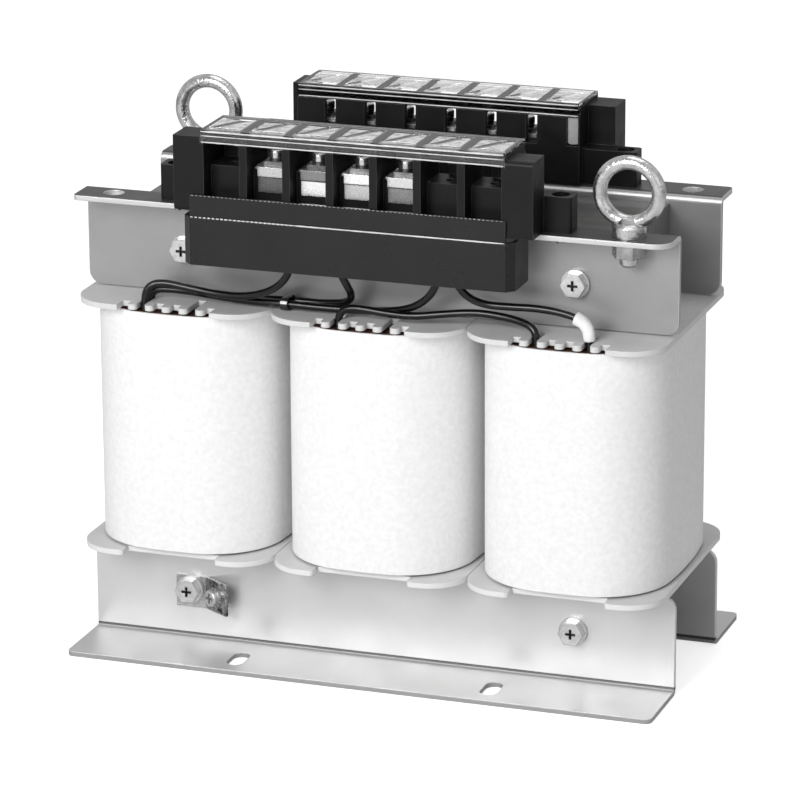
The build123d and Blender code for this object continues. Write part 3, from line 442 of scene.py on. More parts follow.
# Painted reflection: blotches from near black to pale grey on the tab, with a painted highlight on
# its edges.
tab_plate = finish_material(
    "tab_plate", (grey(0.02), grey(0.62)), (0.2, 0.35), metallic=0.9, cloud=420.0,
    grain=(1500.0, 0.5), painted_edge_light=grey(0.7), edge_radius=0.0003, bump=0.0001,
)
dress(bolt_zinc, "clamp_nuts", "eye_bolt_nuts", "front_mount_screws", "back_mount_screws")
dress(
    washer_zinc, "clamp_washers", "earth_star_washer", "earth_screw",
    "front_mount_washers", "back_mount_washers",
)
dress(eye_zinc, "eye_bolt_front", "eye_bolt_back")


# %%
# The clamped part of the earth tab
def repaint(material, mask, color):
    """Lays a colour over a finish where a mask of its tree is one."""
    tree = material.node_tree
    color_in = tree.nodes["Principled BSDF"].inputs["Base Color"]
    under = color_in.links[0].from_socket
    tree.links.new(mix_colors(tree, mask, under, color), color_in)


TAB_BEND = -0.0815
tree = tab_plate.node_tree
clamped = math_node(tree, "LESS_THAN", surface_point(tree)["X"], TAB_BEND)
repaint(tab_plate, clamped, grey(0.42))
dress(tab_plate, "earth_tab")

# %%
# Clamp bolts with painted shade in the recess
BOLT_X = 0.091
BOLT_LOW = 0.0252
BOLT_HIGH = 0.1853
BOLT_MIDDLE = (BOLT_LOW + BOLT_HIGH) / 2
BOLT_REACH = (BOLT_HIGH - BOLT_LOW) / 2
RECESS_RADIUS = 0.0026
RECESS_START = 0.0004
RECESS_END = 0.0020
TAB_LEVEL = 0.1
bolt_points = [v.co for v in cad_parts["clamp_bolts"].data.vertices]
tab_face = min(p.y for p in bolt_points)
head_face = min(p.y for p in bolt_points if p.x > 0)
# Painted shade: a dark tone on the edges of the clamp bolts.
clamp_zinc = finish_material(
    "clamp_zinc", (grey(0.54), grey(0.74)), (0.28, 0.44), metallic=0.85, cloud=420.0,
    grain=(2500.0, 0.4), painted_edge_light=grey(0.10), edge_radius=0.0005, bump=0.0001,
)
tree = clamp_zinc.node_tree
spot = surface_point(tree)
off_across = distance_from(tree, math_node(tree, "ABSOLUTE", spot["X"]), BOLT_X)
off_up = distance_from(tree, distance_from(tree, spot["Z"], BOLT_MIDDLE), BOLT_REACH)
squares = [math_node(tree, "POWER", off, 2.0) for off in (off_across, off_up)]
near_axis = math_node(tree, "LESS_THAN", math_node(tree, "ADD", *squares), RECESS_RADIUS ** 2)
on_tab = all_of(
    tree, math_node(tree, "LESS_THAN", spot["X"], 0.0),
    math_node(tree, "LESS_THAN", spot["Z"], TAB_LEVEL),
)
shift = math_node(tree, "MULTIPLY", on_tab, head_face - tab_face)
shifted = math_node(tree, "ADD", spot["Y"], shift)
behind_face = math_node(tree, "GREATER_THAN", shifted, head_face + RECESS_START)
before_end = math_node(tree, "LESS_THAN", shifted, head_face + RECESS_END)
# Painted shade: nearly black inside the cross recess of each head.
repaint(clamp_zinc, all_of(tree, near_axis, behind_face, before_end), grey(0.03))
dress(clamp_zinc, "clamp_bolts")
print("faces of the heads", [round(y * 1000, 2) for y in (head_face, tab_face)])

# %% [markdown]
# ## Core, coil formers and windings
# The core is a stack of half millimetre sheets. Its cut faces show each sheet as a fine
# line with its own shade, under a thin coat of varnish. The formers are moulded from
# light grey plastic. The upright faces of their lower flanges are painted paler, a painted
# highlight. The windings under the wrap are copper under dark varnish.

# %%
# Core
SHEET_PITCH = 0.0005
core_steel, tree, shader = new_material("core_steel")
shader.inputs["Metallic"].default_value = 0.4
shader.inputs["Coat Weight"].default_value = 0.3
sheets = use_group(tree, line_group, Pitch=SHEET_PITCH, Waver=0.4)
cloud = use_group(tree, mottle_group, Scale=35.0, Detail=5.0)
sheet_tone = mix_colors(tree, sheets.outputs["Shade"], grey(0.10), grey(0.24))
varnished = mix_colors(tree, cloud.outputs["Value"], sheet_tone, grey(0.14, 0.03))
tree.links.new(varnished, shader.inputs["Base Color"])
rough = use_group(tree, mottle_group, Scale=90.0, Detail=5.0, Low=0.35, High=0.6)
tree.links.new(rough.outputs["Value"], shader.inputs["Roughness"])
bump = add_node(tree, "ShaderNodeBump", Strength=0.5, Distance=0.0001)
tree.links.new(sheets.outputs["Height"], bump.inputs["Height"])
tree.links.new(bump.outputs["Normal"], shader.inputs["Normal"])
dress(core_steel, "core_e_stack", "core_top_yoke")

# %%
# Formers and windings
LOWER_FLANGE = (0.0470, 0.0503)
COPPER_DARK = (0.07, 0.03, 0.018, 1)
COPPER_LIGHT = (0.13, 0.06, 0.03, 1)
# Painted highlight: paler upright faces on the lower flanges, and pale edges on formers and wraps.
former_plastic = finish_material(
    "former_plastic", (grey(0.64), grey(0.72)), (0.42, 0.56), cloud=40.0,
    grain=(1400.0, 0.6), painted_edge_light=grey(0.85), edge_radius=0.0007, bump=0.0001,
    cut=(*LOWER_FLANGE, grey(0.76)),
)
winding_copper = finish_material(
    "winding_copper", (COPPER_DARK, COPPER_LIGHT), (0.3, 0.45),
    metallic=0.4, cloud=90.0, grain=(900.0, 0.8), stretch=(0.05, 0.05, 1), bump=0.0003,
)
wrap_white = finish_material(
    "wrap_white", (grey(0.82), grey(0.91)), (0.45, 0.62), cloud=420.0,
    grain=(900.0, 0.9), painted_edge_light=grey(0.9), edge_radius=0.0006, bump=0.0001,
)
for leg in ("left", "centre", "right"):
    dress(former_plastic, f"coil_former_{leg}")
    dress(winding_copper, f"primary_winding_{leg}", f"secondary_winding_{leg}")
    dress(wrap_white, f"outer_wrap_{leg}")

# %% [markdown]
# ## Terminal blocks
# The blocks are black moulded resin with a satin skin. The cover below the front block is
# a glossier sheet moulding, so its edges draw the bright lines that the photograph shows;
# a paler tone on the edges of blocks and cover adds to them, a painted highlight.
# The lids are clear, so the cells and partitions show through them. The terminals are
# nickel plated. Their jaws and the plates below them lie at slightly different angles in
# the real part and so look light or dark in turn. The group below paints each of them
# pale or dark by its place, a painted highlight and painted shade, which moves on by a
# fixed turn from pole to pole.

# %%
# Block plastics
# Painted highlight: a paler tone on the edges of the blocks and the cover.
block_black = finish_material(
    "block_black", (grey(0.005), grey(0.008)), (0.36, 0.5), cloud=50.0, specular=0.2,
    grain=(1800.0, 0.6), painted_edge_light=grey(0.10), edge_radius=0.0004, bump=0.00008,
)
cover_black = finish_material(
    "cover_black", (grey(0.010), grey(0.015)), (0.26, 0.36), cloud=30.0, specular=0.3,
    grain=(900.0, 0.4), painted_edge_light=grey(0.06), edge_radius=0.0003, bump=0.00006,
)
for side in ("front", "back"):
    dress(block_black, f"{side}_block_body")
dress(cover_black, "front_cover")

# %%
# Plate Tones
JAW_BOTTOM = 0.2262
CELL_TURN = 0.7
JAW_TURN = 0.4
FIRST_TURN = 0.49
plate_group, plate_in, plate_out = new_group(
    "Plate Painted Light",
    [("Start", FLOAT, 0.0), ("Pitch", FLOAT, 0.02), ("Split", FLOAT, JAW_BOTTOM)],
    [("Shade", FLOAT)],
)
plate_spot = surface_point(plate_group)
plate_along = math_node(plate_group, "SUBTRACT", plate_spot["X"], plate_in.outputs["Start"])
plate_cells = math_node(plate_group, "DIVIDE", plate_along, plate_in.outputs["Pitch"])
plate_cell = math_node(plate_group, "FLOOR", plate_cells)
plate_jaw = math_node(plate_group, "GREATER_THAN", plate_spot["Z"], plate_in.outputs["Split"])
plate_turn = math_node(
    plate_group, "ADD", math_node(plate_group, "MULTIPLY", plate_cell, CELL_TURN),
    math_node(plate_group, "MULTIPLY", plate_jaw, JAW_TURN),
)
plate_part = math_node(plate_group, "FRACT", math_node(plate_group, "ADD", plate_turn, FIRST_TURN))
plate_shade = map_range(plate_group, plate_part, 0.15, 0.9, 0.0, 1.0)
plate_group.links.new(plate_shade, plate_out.inputs["Shade"])
print("group", plate_group.name)

# %%
# Terminals, each block with the start, the pitch and the middle line of its poles
POLES = 7
BLOCKS = (("front", -0.0725, 0.0200, -0.0475), ("back", -0.0623, 0.0191, 0.0475))
# Painted highlight: pale edges on the terminal screws, washers and plates.
screw_nickel = finish_material(
    "screw_nickel", (grey(0.45), grey(0.7)), (0.14, 0.28), metallic=0.95, cloud=260.0,
    grain=(1600.0, 0.5), painted_edge_light=grey(0.95), edge_radius=0.0003, bump=0.0001,
)
washer_dull = finish_material(
    "washer_dull", (grey(0.08), grey(0.14)), (0.3, 0.45), metallic=0.9, cloud=200.0,
    grain=(1600.0, 0.5), painted_edge_light=grey(0.4), edge_radius=0.0002, bump=0.0001,
)
for side, start, pitch, _ in BLOCKS:
    nickel = finish_material(
        f"terminal_nickel_{side}", (grey(0.07), grey(0.11)), (0.2, 0.36), metallic=0.8, cloud=200.0,
        grain=(1600.0, 0.5), painted_edge_light=grey(0.8), edge_radius=0.0003, bump=0.0001,
    )
    tones = use_group(nickel.node_tree, plate_group, Start=start, Pitch=pitch, Split=JAW_BOTTOM)
    # Painted highlight and painted shade: each jaw and plate pale or dark by its place.
    repaint(nickel, tones.outputs["Shade"], grey(0.92))
    dress(nickel, f"{side}_terminals")
    dress(washer_dull, f"{side}_terminal_washers")
    dress(screw_nickel, f"{side}_terminal_screws")

# %%
# Clear lid
lid_clear, tree, shader = new_material("lid_clear")
shader.inputs["Metallic"].default_value = 0.0
shader.inputs["Transmission Weight"].default_value = 1.0
shader.inputs["IOR"].default_value = 1.45
cloud = use_group(tree, mottle_group, Scale=30.0, Detail=3.0)
lid_tone = mix_colors(tree, cloud.outputs["Value"], grey(0.90), grey(0.96))
tree.links.new(lid_tone, shader.inputs["Base Color"])
rough = use_group(tree, mottle_group, Scale=120.0, Detail=4.0, Low=0.03, High=0.09)
tree.links.new(rough.outputs["Value"], shader.inputs["Roughness"])
grain = use_group(tree, grain_group, Scale=60.0, Depth=0.4)
bump = add_node(tree, "ShaderNodeBump", Strength=0.15, Distance=0.0003)
tree.links.new(grain.outputs["Height"], bump.inputs["Height"])
tree.links.new(bump.outputs["Normal"], shader.inputs["Normal"])
dress(lid_clear, "front_block_lid", "back_block_lid")

# %% [markdown]
# ## Fine pale ribs on the lids and the cover, a painted highlight
# The lips of the lids carry thin pale ribs, opaque, which paint the bright lines of light
# along the front in the photograph: a painted highlight. The cover has a fine dashed bead
# along its upper edge, and one where its thick band starts, which is dashed at the left and
# whole at the right; these pale and grey beads are a painted highlight too. Each rib or bead
# is a half round section carried along the wall, with thinner ends and a height that wanders
# a little, because a ruled line would look drawn on.


# %%
# Rings of points joined to a mesh
def join_rings(mesh, rings, capped=True):
    """Faces between each ring of points and the next, and flat ones at both ends if capped."""
    for first, second in zip(rings, rings[1:]):
        for turn in range(len(first)):
            after = (turn + 1) % len(first)
            mesh.faces.new((first[turn], first[after], second[after], second[turn]))
    if capped:
        mesh.faces.new(rings[0])
        mesh.faces.new(rings[-1][::-1])


def mesh_piece(name, mesh, material, wall=None):
    """A piece from a mesh: a closed solid, or an open tube that gets a wall inward."""
    if wall is None:
        bmesh.ops.recalc_face_normals(mesh, faces=mesh.faces)
    for face in mesh.faces:
        face.smooth = wall is not None
    data = bpy.data.meshes.new(name)
    mesh.to_mesh(data)
    mesh.free()
    data.materials.append(material)
    piece = bpy.data.objects.new(name, data)
    scene.collection.objects.link(piece)
    if wall is not None:
        solid = piece.modifiers.new("wall", "SOLIDIFY")
        solid.thickness = wall
        solid.offset = -1
    return piece


# %%
# A half round bead along a wall
BEAD_STEP = 0.003
BEAD_END = 0.55
BEAD_ROOT = 0.00015
ARC_STEPS = 6


def bead_size(x, at_end):
    """The share of its full size: small at an end, and wandering a little between them."""
    return BEAD_END if at_end else 1 + 0.10 * math.sin(260 * x) + 0.06 * math.sin(910 * x + 1)


def add_bead(mesh, left, right, wall, level, half_height, proud, side=-1):
    """A bead on a wall that faces -Y, or +Y with side 1, from left to right, in metres."""
    steps = max(3, round((right - left) / BEAD_STEP))
    rings = []
    for step in range(steps + 1):
        x = left + (right - left) * step / steps
        size = bead_size(x, step in (0, steps))
        ring = []
        for turn in range(ARC_STEPS + 1):
            angle = math.pi * turn / ARC_STEPS
            y = wall + side * proud * size * math.sin(angle)
            ring.append(mesh.verts.new((x, y, level + half_height * size * math.cos(angle))))
        ring.append(mesh.verts.new((x, wall - side * BEAD_ROOT, level)))
        rings.append(ring)
    join_rings(mesh, rings)


def bead_piece(name, beads, material):
    """One piece made of beads, each given as the numbers that add_bead takes."""
    mesh = bmesh.new()
    for bead in beads:
        add_bead(mesh, *bead)
    piece = mesh_piece(name, mesh, material)
    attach(piece, "root")
    print(name, "beads", len(beads))


# %%
# Ribs of the lids: level and half height of each
LID_RIBS = ((0.2469, 0.00034), (0.2450, 0.00024), (0.2422, 0.00028))
RIB_PROUD = 0.00022
RIB_INSET = 0.0007
LID_HALF_DEPTH = 0.0145
# Painted highlight: opaque pale ribs stand for the lines of light on the clear lips.
rib_pale_highlight = finish_material(
    "rib_pale_highlight", (grey(0.70), grey(0.80)), (0.15, 0.3), cloud=90.0,
    grain=(900.0, 0.4), bump=0.0001,
)
for side, start, pitch, middle in BLOCKS:
    left = start + RIB_INSET
    right = start + POLES * pitch - RIB_INSET
    ribs = [
        (left, right, middle + outward * LID_HALF_DEPTH, level, half, RIB_PROUD, outward)
        for outward in (-1, 1) for level, half in LID_RIBS
    ]
    bead_piece(f"{side}_lid_highlight_ribs", ribs, rib_pale_highlight)

# %% [markdown]
# ## Frosted label fields
# Each pole of a lid has a sunk field where a paper label would go. It is left blank, and
# its floor is frosted with a slanting clear stripe, through which the dark cell shows.
# The stripe and the frost are made by alpha, since the lid itself stays plain glass.

# %%
# Frost with a slanting stripe, measured in poles
STRIPE_MIDDLE = 0.42
STRIPE_SLANT = 28.0
STRIPE_CLEAR = 0.09
STRIPE_FROSTED = 0.13


def frost_material(side, start, pitch, middle):
    """The frost of one block's fields, clear along a stripe in each pole."""
    frost = finish_material(
        f"label_frost_{side}", (grey(0.84), grey(0.92)), (0.3, 0.5), cloud=220.0,
        grain=(800.0, 0.5), bump=0.0001,
    )
    tree = frost.node_tree
    spot = surface_point(tree)
    along = math_node(tree, "DIVIDE", math_node(tree, "SUBTRACT", spot["X"], start), pitch)
    across = math_node(tree, "SUBTRACT", spot["Y"], middle)
    slant = math_node(tree, "MULTIPLY", across, STRIPE_SLANT)
    in_pole = math_node(tree, "SUBTRACT", math_node(tree, "FRACT", along), slant)
    off_stripe = distance_from(tree, in_pole, STRIPE_MIDDLE)
    frosted = map_range(tree, off_stripe, STRIPE_CLEAR, STRIPE_FROSTED, 0.0, 1.0)
    patch = use_group(tree, mottle_group, Scale=260.0, Detail=2.0, Low=0.35, High=1.3)
    alpha = all_of(tree, frosted, patch.outputs["Value"])
    tree.links.new(alpha, tree.nodes["Principled BSDF"].inputs["Alpha"])
    print(frost.name, "stripe at", STRIPE_MIDDLE, "of a pole")
    return frost


# %%
# Thin plates with round corners in the fields of the lids
FIELD_BOTTOM = 0.24715
FIELD_TOP = 0.2473
FIELD_LENGTH = 0.0164
FIELD_GAP = 0.0048
CORNER = 0.0012
CORNER_STEPS = 4


def field_outline(across, along):
    """Corner points of a field with round corners, about its own middle."""
    points = []
    for turn, (sx, sy) in enumerate(((1, 1), (-1, 1), (-1, -1), (1, -1))):
        for step in range(CORNER_STEPS + 1):
            angle = math.pi / 2 * (turn + step / CORNER_STEPS)
            x = sx * (across / 2 - CORNER) + CORNER * math.cos(angle)
            points.append((x, sy * (along / 2 - CORNER) + CORNER * math.sin(angle)))
    return points


for side, start, pitch, middle in BLOCKS:
    mesh = bmesh.new()
    outline = field_outline(pitch - FIELD_GAP, FIELD_LENGTH)
    for pole in range(POLES):
        centre_x = start + pitch * (pole + 0.5)
        rings = [
            [mesh.verts.new((centre_x + x, middle + y, level)) for x, y in outline]
            for level in (FIELD_BOTTOM, FIELD_TOP)
        ]
        join_rings(mesh, rings)
    frost = frost_material(side, start, pitch, middle)
    fields = mesh_piece(f"{side}_label_fields", mesh, frost)
    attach(fields, "root")
    print(fields.name, "on", POLES, "poles")

# %% [markdown]
# ## Blank in a slit
# The back block has one pole without a terminal. Its slit is closed by a pale blank, which
# shows in the photograph as a grey strip. It is a thin plate with a rounded foot.

# %%
# Blank
BLANK_X = 0.0681
BLANK_HALF = 0.00255
BLANK_TOP = 0.2412
BLANK_FOOT = 0.2296
FOOT_DROP = 0.0008
FOOT_STEPS = 8
BLANK_FACES = (0.0344, 0.0350)
# Painted highlight: a paler tone on the edges of the blank.
blank_grey = finish_material(
    "blank_grey", (grey(0.34), grey(0.42)), (0.4, 0.55), cloud=300.0,
    grain=(1400.0, 0.5), painted_edge_light=grey(0.7), edge_radius=0.0003, bump=0.0001,
)
blank_outline = [(-BLANK_HALF, BLANK_TOP), (BLANK_HALF, BLANK_TOP)]
for step in range(FOOT_STEPS + 1):
    angle = -math.pi * step / FOOT_STEPS
    z = BLANK_FOOT + FOOT_DROP * math.sin(angle)
    blank_outline.append((BLANK_HALF * math.cos(angle), z))
mesh = bmesh.new()
rings = [[mesh.verts.new((BLANK_X + x, y, z)) for x, z in blank_outline] for y in BLANK_FACES]
join_rings(mesh, rings)
blank = mesh_piece("slit_blank", mesh, blank_grey)
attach(blank, "root")
print(blank.name, "at", BLANK_X)

# %%
# Beads of the cover: wall, level, half height and how proud each row stands
# Painted highlight: pale and grey beads stand for the thin lines of light on the black cover.
bead_pale_highlight = finish_material(
    "bead_pale_highlight", (grey(0.74), grey(0.86)), (0.25, 0.4), cloud=150.0,
    grain=(900.0, 0.4), bump=0.0001,
)
bead_dull_highlight = finish_material(
    "bead_dull_highlight", (grey(0.30), grey(0.5)), (0.3, 0.45), cloud=350.0,
    grain=(900.0, 0.4), bump=0.0001,
)
BEAD_PITCH = 0.002
BAND_LEFT = -0.0768
BAND_CLOSED = -0.030
BAND_RIGHT = 0.0676
BAND_BEAD = (-0.06365, 0.20845, 0.00030, 0.0003)
FIRST_SHARE = 0.62
SHARE_RUN = 0.045
STRIP_LEFT = -0.0766
STRIP_RIGHT = 0.0665
STRIP_LENGTH = 0.0013
STRIP_BEAD = (-0.0631, 0.2181, 0.00020, 0.0002)
band_beads = []
x = BAND_LEFT
while x < BAND_CLOSED:
    share = min(1.0, FIRST_SHARE + (1 - FIRST_SHARE) * (x - BAND_LEFT) / SHARE_RUN)
    band_beads.append((x, x + BEAD_PITCH * share, *BAND_BEAD))
    x += BEAD_PITCH
band_beads.append((x, BAND_RIGHT, *BAND_BEAD))
strip_beads = []
x = STRIP_LEFT
while x < STRIP_RIGHT:
    strip_beads.append((x, x + STRIP_LENGTH, *STRIP_BEAD))
    x += BEAD_PITCH
bead_piece("cover_band_highlight_beads", band_beads, bead_pale_highlight)
bead_piece("cover_strip_highlight_beads", strip_beads, bead_dull_highlight)

# %% [markdown]
# ## Leads
# Five soft leads run from behind the front cover to slots in the coil formers. Each is a
# smooth curve along the route that the CAD tube follows, so its ends meet the block's
# underside and the top of a winding. A spline of low order stays close to its points.

# %%
# Routes of the leads, in millimetres
ROUTES = {
    "left_outer": [
        (-31, -57.5, 210.5), (-31, -57.5, 198.5), (-32.4, -56.2, 188), (-37.3, -54.4, 179.3),
        (-46, -53.2, 173.5), (-58, -52.7, 170.7), (-71, -51.9, 170.9), (-83.5, -51.7, 172.4),
        (-94, -52.2, 174), (-100.5, -53.4, 173), (-103, -54.6, 168.2), (-103, -54.6, 161.5),
    ],
    "left_inner": [
        (-13, -57.5, 210.5), (-13, -57.5, 198.5), (-11, -55.8, 188.5), (-8.2, -53, 180.8),
        (-7, -49.4, 175.2), (-9.2, -45.9, 171.5), (-14.5, -43.4, 169.2), (-25, -42.4, 168.1),
        (-40, -42.6, 168.2), (-55, -42.4, 167.6), (-70, -42.4, 168), (-83, -42.4, 168.7),
        (-93.5, -42.8, 168.9), (-100, -44, 168.5), (-102.5, -46.2, 167.2), (-103, -47.5, 164.9),
        (-103, -47.5, 161.5),
    ],
    "left_middle": [
        (37, -57.5, 210.5), (37, -57.5, 198.5), (35.5, -56, 187.8), (30, -53.5, 178),
        (20, -50, 171.3), (7, -48, 168.6), (-8, -48.1, 168), (-24, -48.4, 167.8),
        (-40, -48.5, 168.2), (-55, -47.8, 167.6), (-70, -47.2, 168.3), (-83, -47, 169.4),
        (-93.5, -47.5, 169.8), (-100.2, -48.8, 169.6), (-102.6, -50.4, 167.9), (-103, -51.05, 165),
        (-103, -51.05, 161.5),
    ],
    "right_sleeved": [
        (41, -57.5, 210.5), (41, -57.5, 198.5), (42.5, -56, 188), (47, -54, 180.6),
        (55, -52.3, 177), (67, -51, 176.8), (79, -50.2, 177), (90.5, -50.2, 175.9),
        (98, -51, 173.9), (101.8, -52.3, 171.2), (103, -53.8, 167.5), (103, -53.8, 161.5),
    ],
    "bridge": [
        (-12, -53.6, 161.5), (-12, -53.6, 166), (-9.4, -53.2, 169.8), (-2.5, -53, 170.6),
        (9, -53, 169.4), (22, -53.2, 169), (36, -51.5, 171), (50, -50, 172.6),
        (62, -50.2, 172), (71.5, -51.4, 170.8), (77, -52.8, 169), (79, -53.8, 165.8),
        (79, -53.8, 161.5),
    ],
}
print("routes", {name: len(points) for name, points in ROUTES.items()})


# %%
# A smooth curve along a route
STEPS_PER_POINT = 12
ROUND_STEPS = 5


def spline_curve(name, points, radius):
    """A NURBS curve of order three over the points of a route, with a round section."""
    data = bpy.data.curves.new(name, "CURVE")
    data.dimensions = "3D"
    data.resolution_u = STEPS_PER_POINT
    data.bevel_depth = radius
    data.bevel_resolution = ROUND_STEPS
    data.use_fill_caps = True
    spline = data.splines.new("NURBS")
    spline.points.add(len(points) - 1)
    for target, point in zip(spline.points, points):
        target.co = (point[0] / 1000, point[1] / 1000, point[2] / 1000, 1)
    spline.order_u = 3
    spline.use_endpoint_u = True
    curve = bpy.data.objects.new(name, data)
    scene.collection.objects.link(curve)
    return curve


def centre_line(points):
    """Points along the smooth line of a route, in metres."""
    curve = spline_curve("route_probe", points, 0.0)
    graph = bpy.context.evaluated_depsgraph_get()
    mesh = bpy.data.meshes.new_from_object(curve.evaluated_get(graph))
    line = [v.co.copy() for v in mesh.vertices]
    bpy.data.objects.remove(curve)
    return line


def line_length(line):
    """The length of a line of points."""
    return sum((b - a).length for a, b in zip(line, line[1:]))


# %%
# Leads
LEAD_DIAMETER = 0.0034
lead_black = finish_material(
    "lead_black", (grey(0.003), grey(0.006)), (0.14, 0.24), cloud=150.0, specular=0.4,
    grain=(1500.0, 0.5), bump=0.00008,
)
leads = {}
lines = {name: centre_line(points) for name, points in ROUTES.items()}
for name, points in ROUTES.items():
    lead = spline_curve(f"soft_lead_{name}", points, LEAD_DIAMETER / 2)
    lead.data.materials.append(lead_black)
    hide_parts(f"lead_{name}")
    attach(lead, "root")
    leads[name] = lead
    print(lead.name, "length", round(line_length(lines[name]) * 1000, 1), "mm")

# %% [markdown]
# ## Sleeve and tie
# A short white sleeve is pushed over the end of the right lead. It is a loose fabric tube,
# so its wall bulges and wrinkles a little and its mouth flares. The tie is a narrow strap
# pulled round the two leads that run together. It is dark, with one pale patch on its
# front, a painted highlight.


# %%
# A tube that follows a line
TUBE_SIDES = 28


def tube_mesh(line, radius_at):
    """An open tube; radius_at gives its radius by the part of the length and the angle."""
    total = line_length(line)
    mesh = bmesh.new()
    rings = []
    walked = 0.0
    side = Vector((1, 0, 0))
    for place, point in enumerate(line):
        ahead = line[min(place + 1, len(line) - 1)]
        behind = line[max(place - 1, 0)]
        along = (ahead - behind).normalized()
        side = (side - along * side.dot(along)).normalized()
        other = along.cross(side)
        if place:
            walked += (point - line[place - 1]).length
        ring = []
        for step in range(TUBE_SIDES):
            angle = 2 * math.pi * step / TUBE_SIDES
            spoke = side * math.cos(angle) + other * math.sin(angle)
            ring.append(mesh.verts.new(point + spoke * radius_at(walked / total, angle)))
        rings.append(ring)
    join_rings(mesh, rings, capped=False)
    return mesh


# %%
# The part of the lead that the sleeve covers, from its lowest level up
SLEEVE_LENGTH = 0.0125
SLEEVE_LOWEST = 0.1652
above = [p for p in lines["right_sleeved"] if p.z >= SLEEVE_LOWEST]
covered = []
for point in reversed(above):
    covered.append(point)
    if line_length(covered) > SLEEVE_LENGTH:
        break
covered.reverse()
print("sleeve over", round(line_length(covered) * 1000, 1), "mm")

# %%
# Sleeve
SLEEVE_RADIUS = 0.00245
SLEEVE_WALL = 0.0004
SLEEVE_BULGE = 0.00025
FLARE = 0.00055
FLARE_PART = 0.6


def sleeve_radius(part, angle):
    """Half the sleeve's width: a flared mouth, a small bulge and shallow wrinkles."""
    flare = FLARE * max(0.0, 1 - part / FLARE_PART)
    bulge = SLEEVE_BULGE * math.sin(math.pi * part)
    wrinkle = 0.00007 * math.sin(3 * angle + 9 * part) + 0.00004 * math.sin(7 * angle - 14 * part)
    return SLEEVE_RADIUS + flare + bulge + wrinkle


sleeve_white = finish_material(
    "sleeve_white", (grey(0.84), grey(0.91)), (0.6, 0.75), cloud=120.0,
    grain=(2200.0, 1.0), stretch=(1, 1, 0.4), bump=0.0003,
)
sleeve_mesh = tube_mesh(covered, sleeve_radius)
sleeve = mesh_piece("lead_sleeve_soft", sleeve_mesh, sleeve_white, wall=SLEEVE_WALL)
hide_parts("lead_sleeve")
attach(sleeve, "root")
print(sleeve.name, "faces", len(sleeve.data.polygons))

# %%
# The leads that the tie holds, where it goes round them
TIE_X = -0.0385
LOWER_RUN = 0.172


def point_at_x(line, x):
    """The point of a line's lower run that lies nearest to a plane across X."""
    return min((p for p in line if p.z < LOWER_RUN), key=lambda p: abs(p.x - x))


inner = point_at_x(lines["left_inner"], TIE_X)
middle = point_at_x(lines["left_middle"], TIE_X)
front = min((inner, middle), key=lambda p: p.y)
print("tie round leads at", [round(p.y * 1000, 1) for p in (inner, middle)])

# %%
# Tie finish, dark with a painted highlight on its front
HIGHLIGHT_LONG = 0.0032
HIGHLIGHT_HIGH = 0.0012
HIGHLIGHT_RISE = 0.0012
tie_pale = finish_material(
    "tie_pale", (grey(0.012), grey(0.03)), (0.2, 0.3), cloud=200.0,
    grain=(2000.0, 0.5), bump=0.0001,
)
tree = tie_pale.node_tree
spot = surface_point(tree)
off_middle = distance_from(tree, spot["X"], TIE_X)
off_level = distance_from(tree, spot["Z"], front.z + HIGHLIGHT_RISE)
tie_highlight = all_of(
    tree, math_node(tree, "LESS_THAN", off_middle, HIGHLIGHT_LONG / 2),
    math_node(tree, "LESS_THAN", off_level, HIGHLIGHT_HIGH / 2),
    math_node(tree, "LESS_THAN", spot["Y"], front.y),
)
# Painted highlight: a pale patch on the front of the tie.
repaint(tie_pale, tie_highlight, grey(0.85))
print(tie_pale.name, "tie_highlight", round(HIGHLIGHT_LONG * 1000, 1), "mm long")

# %%
# Tie: the place of each ring across the strap, and how far it swells there
TIE_WIDTH = 0.0038
TIE_STAND = 0.00075
TIE_SWELL = 0.00035
TIE_WALL = 0.0005
TIE_STEPS = 16
TIE_RINGS = ((-0.5, 0.0), (-0.42, TIE_SWELL), (0.42, TIE_SWELL), (0.5, 0.0))
mesh = bmesh.new()
rings = []
for shift, swell in TIE_RINGS:
    ring = []
    radius = LEAD_DIAMETER / 2 + TIE_STAND + swell
    for centre, start in ((inner, -90), (middle, 90)):
        for step in range(TIE_STEPS + 1):
            angle = math.radians(start + 180 * step / TIE_STEPS)
            y = centre.y + radius * math.cos(angle)
            z = centre.z + radius * math.sin(angle)
            ring.append(mesh.verts.new((TIE_X + shift * TIE_WIDTH, y, z)))
    rings.append(ring)
join_rings(mesh, rings, capped=False)
tie = mesh_piece("lead_tie_strap", mesh, tie_pale, wall=TIE_WALL)
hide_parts("lead_tie")
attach(tie, "root")
print(tie.name, "width", round(TIE_WIDTH * 1000, 1), "mm")

# %%
# What each lead is
# The first point of each lead's route, in metres, not used further
for name, lead in leads.items():
    start = Vector(ROUTES[name][0]) / 1000
print("cords", len(leads))

# %% [markdown]
# ## Floor and light
# The picture is a cut-out on white. A wide pale floor takes the soft shadow, and both it
# and the world look white to the camera, also through the clear lids. A large lamp in
# front, a little to the left, gives the coils their gentle falloff to the right. Weaker
# ones fill the right and the top. Shiny pieces mirror the world a little darker than white,
# which gives the plated steel some depth.

# %%
# Floor
FLOOR_REACH = 12.0
FLOOR_GLOW = 0.66


def seen_directly(tree, path):
    """A mask that is one for the camera, also through glass."""
    camera_ray = path.outputs["Is Camera Ray"]
    return math_node(tree, "MAXIMUM", camera_ray, path.outputs["Is Transmission Ray"])


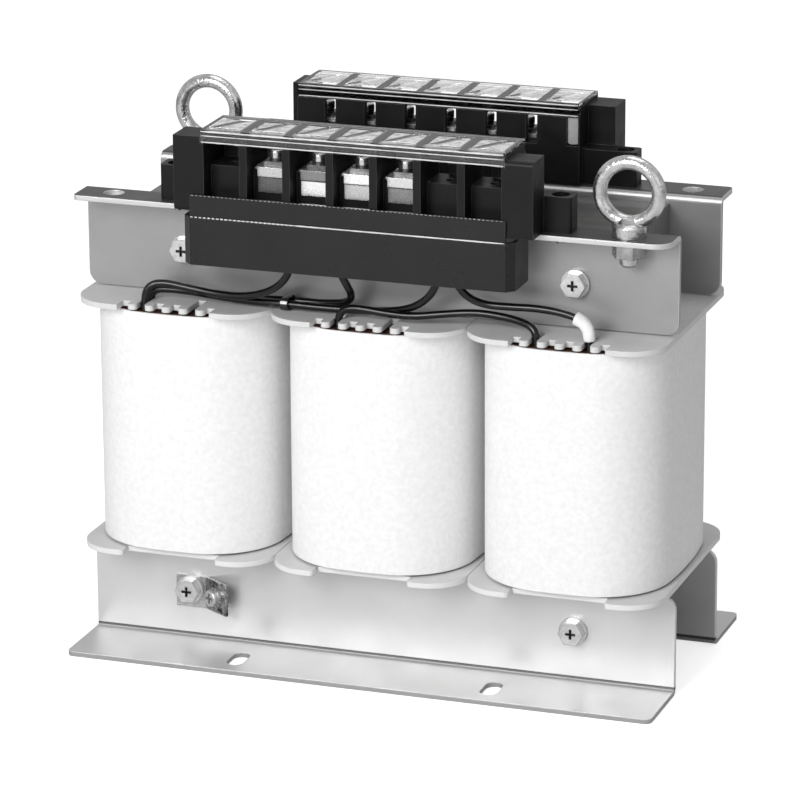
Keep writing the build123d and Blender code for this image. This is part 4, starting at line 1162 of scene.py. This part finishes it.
floor_material, tree, shader = new_material("floor_pale")
shader.inputs["Base Color"].default_value = (0.9, 0.9, 0.9, 1)
shader.inputs["Roughness"].default_value = 0.9
shader.inputs["Specular IOR Level"].default_value = 0.0
shader.inputs["Emission Color"].default_value = (1, 1, 1, 1)
seen = seen_directly(tree, add_node(tree, "ShaderNodeLightPath"))
tree.links.new(math_node(tree, "MULTIPLY", seen, FLOOR_GLOW), shader.inputs["Emission Strength"])
floor_data = bpy.data.meshes.new("floor")
corners = [(x * FLOOR_REACH, y * FLOOR_REACH, 0) for x, y in ((-1, -1), (1, -1), (1, 1), (-1, 1))]
floor_data.from_pydata(corners, [], [(0, 1, 2, 3)])
floor_data.materials.append(floor_material)
floor = bpy.data.objects.new("floor", floor_data)
scene.collection.objects.link(floor)
print("floor", FLOOR_REACH * 2, "m wide")

# %%
# World
WORLD_LIGHT = 0.24
MIRRORED_SHARE = 0.5
world = bpy.data.worlds.new("studio")
scene.world = world
world.use_nodes = True
tree = world.node_tree
background = tree.nodes["Background"]
background.inputs["Color"].default_value = (1, 1, 1, 1)
path = add_node(tree, "ShaderNodeLightPath")
mirrored = math_node(tree, "MULTIPLY", path.outputs["Is Glossy Ray"], MIRRORED_SHARE)
seen = math_node(tree, "MAXIMUM", seen_directly(tree, path), mirrored)
strength = map_range(tree, seen, 0.0, 1.0, WORLD_LIGHT, 1.0)
tree.links.new(strength, background.inputs["Strength"])
print("world light", WORLD_LIGHT)


# %%
# Lamps
def area_lamp(name, place, target, size, power):
    """A square soft lamp aimed at a point."""
    data = bpy.data.lights.new(name, "AREA")
    data.size = size
    data.energy = power
    lamp = bpy.data.objects.new(name, data)
    lamp.location = place
    lamp.rotation_mode = "QUATERNION"
    lamp.rotation_quaternion = (Vector(target) - Vector(place)).to_track_quat("-Z", "Y")
    scene.collection.objects.link(lamp)
    print("lamp", name, power, "W")


AIM = (0, 0, 0.12)
area_lamp("key", (-0.4, -2.1, 1.1), AIM, 1.0, 38.8)
area_lamp("fill", (1.5, -1.5, 0.9), AIM, 1.4, 3)
area_lamp("top", (0.1, 0.3, 2.0), AIM, 1.2, 8)
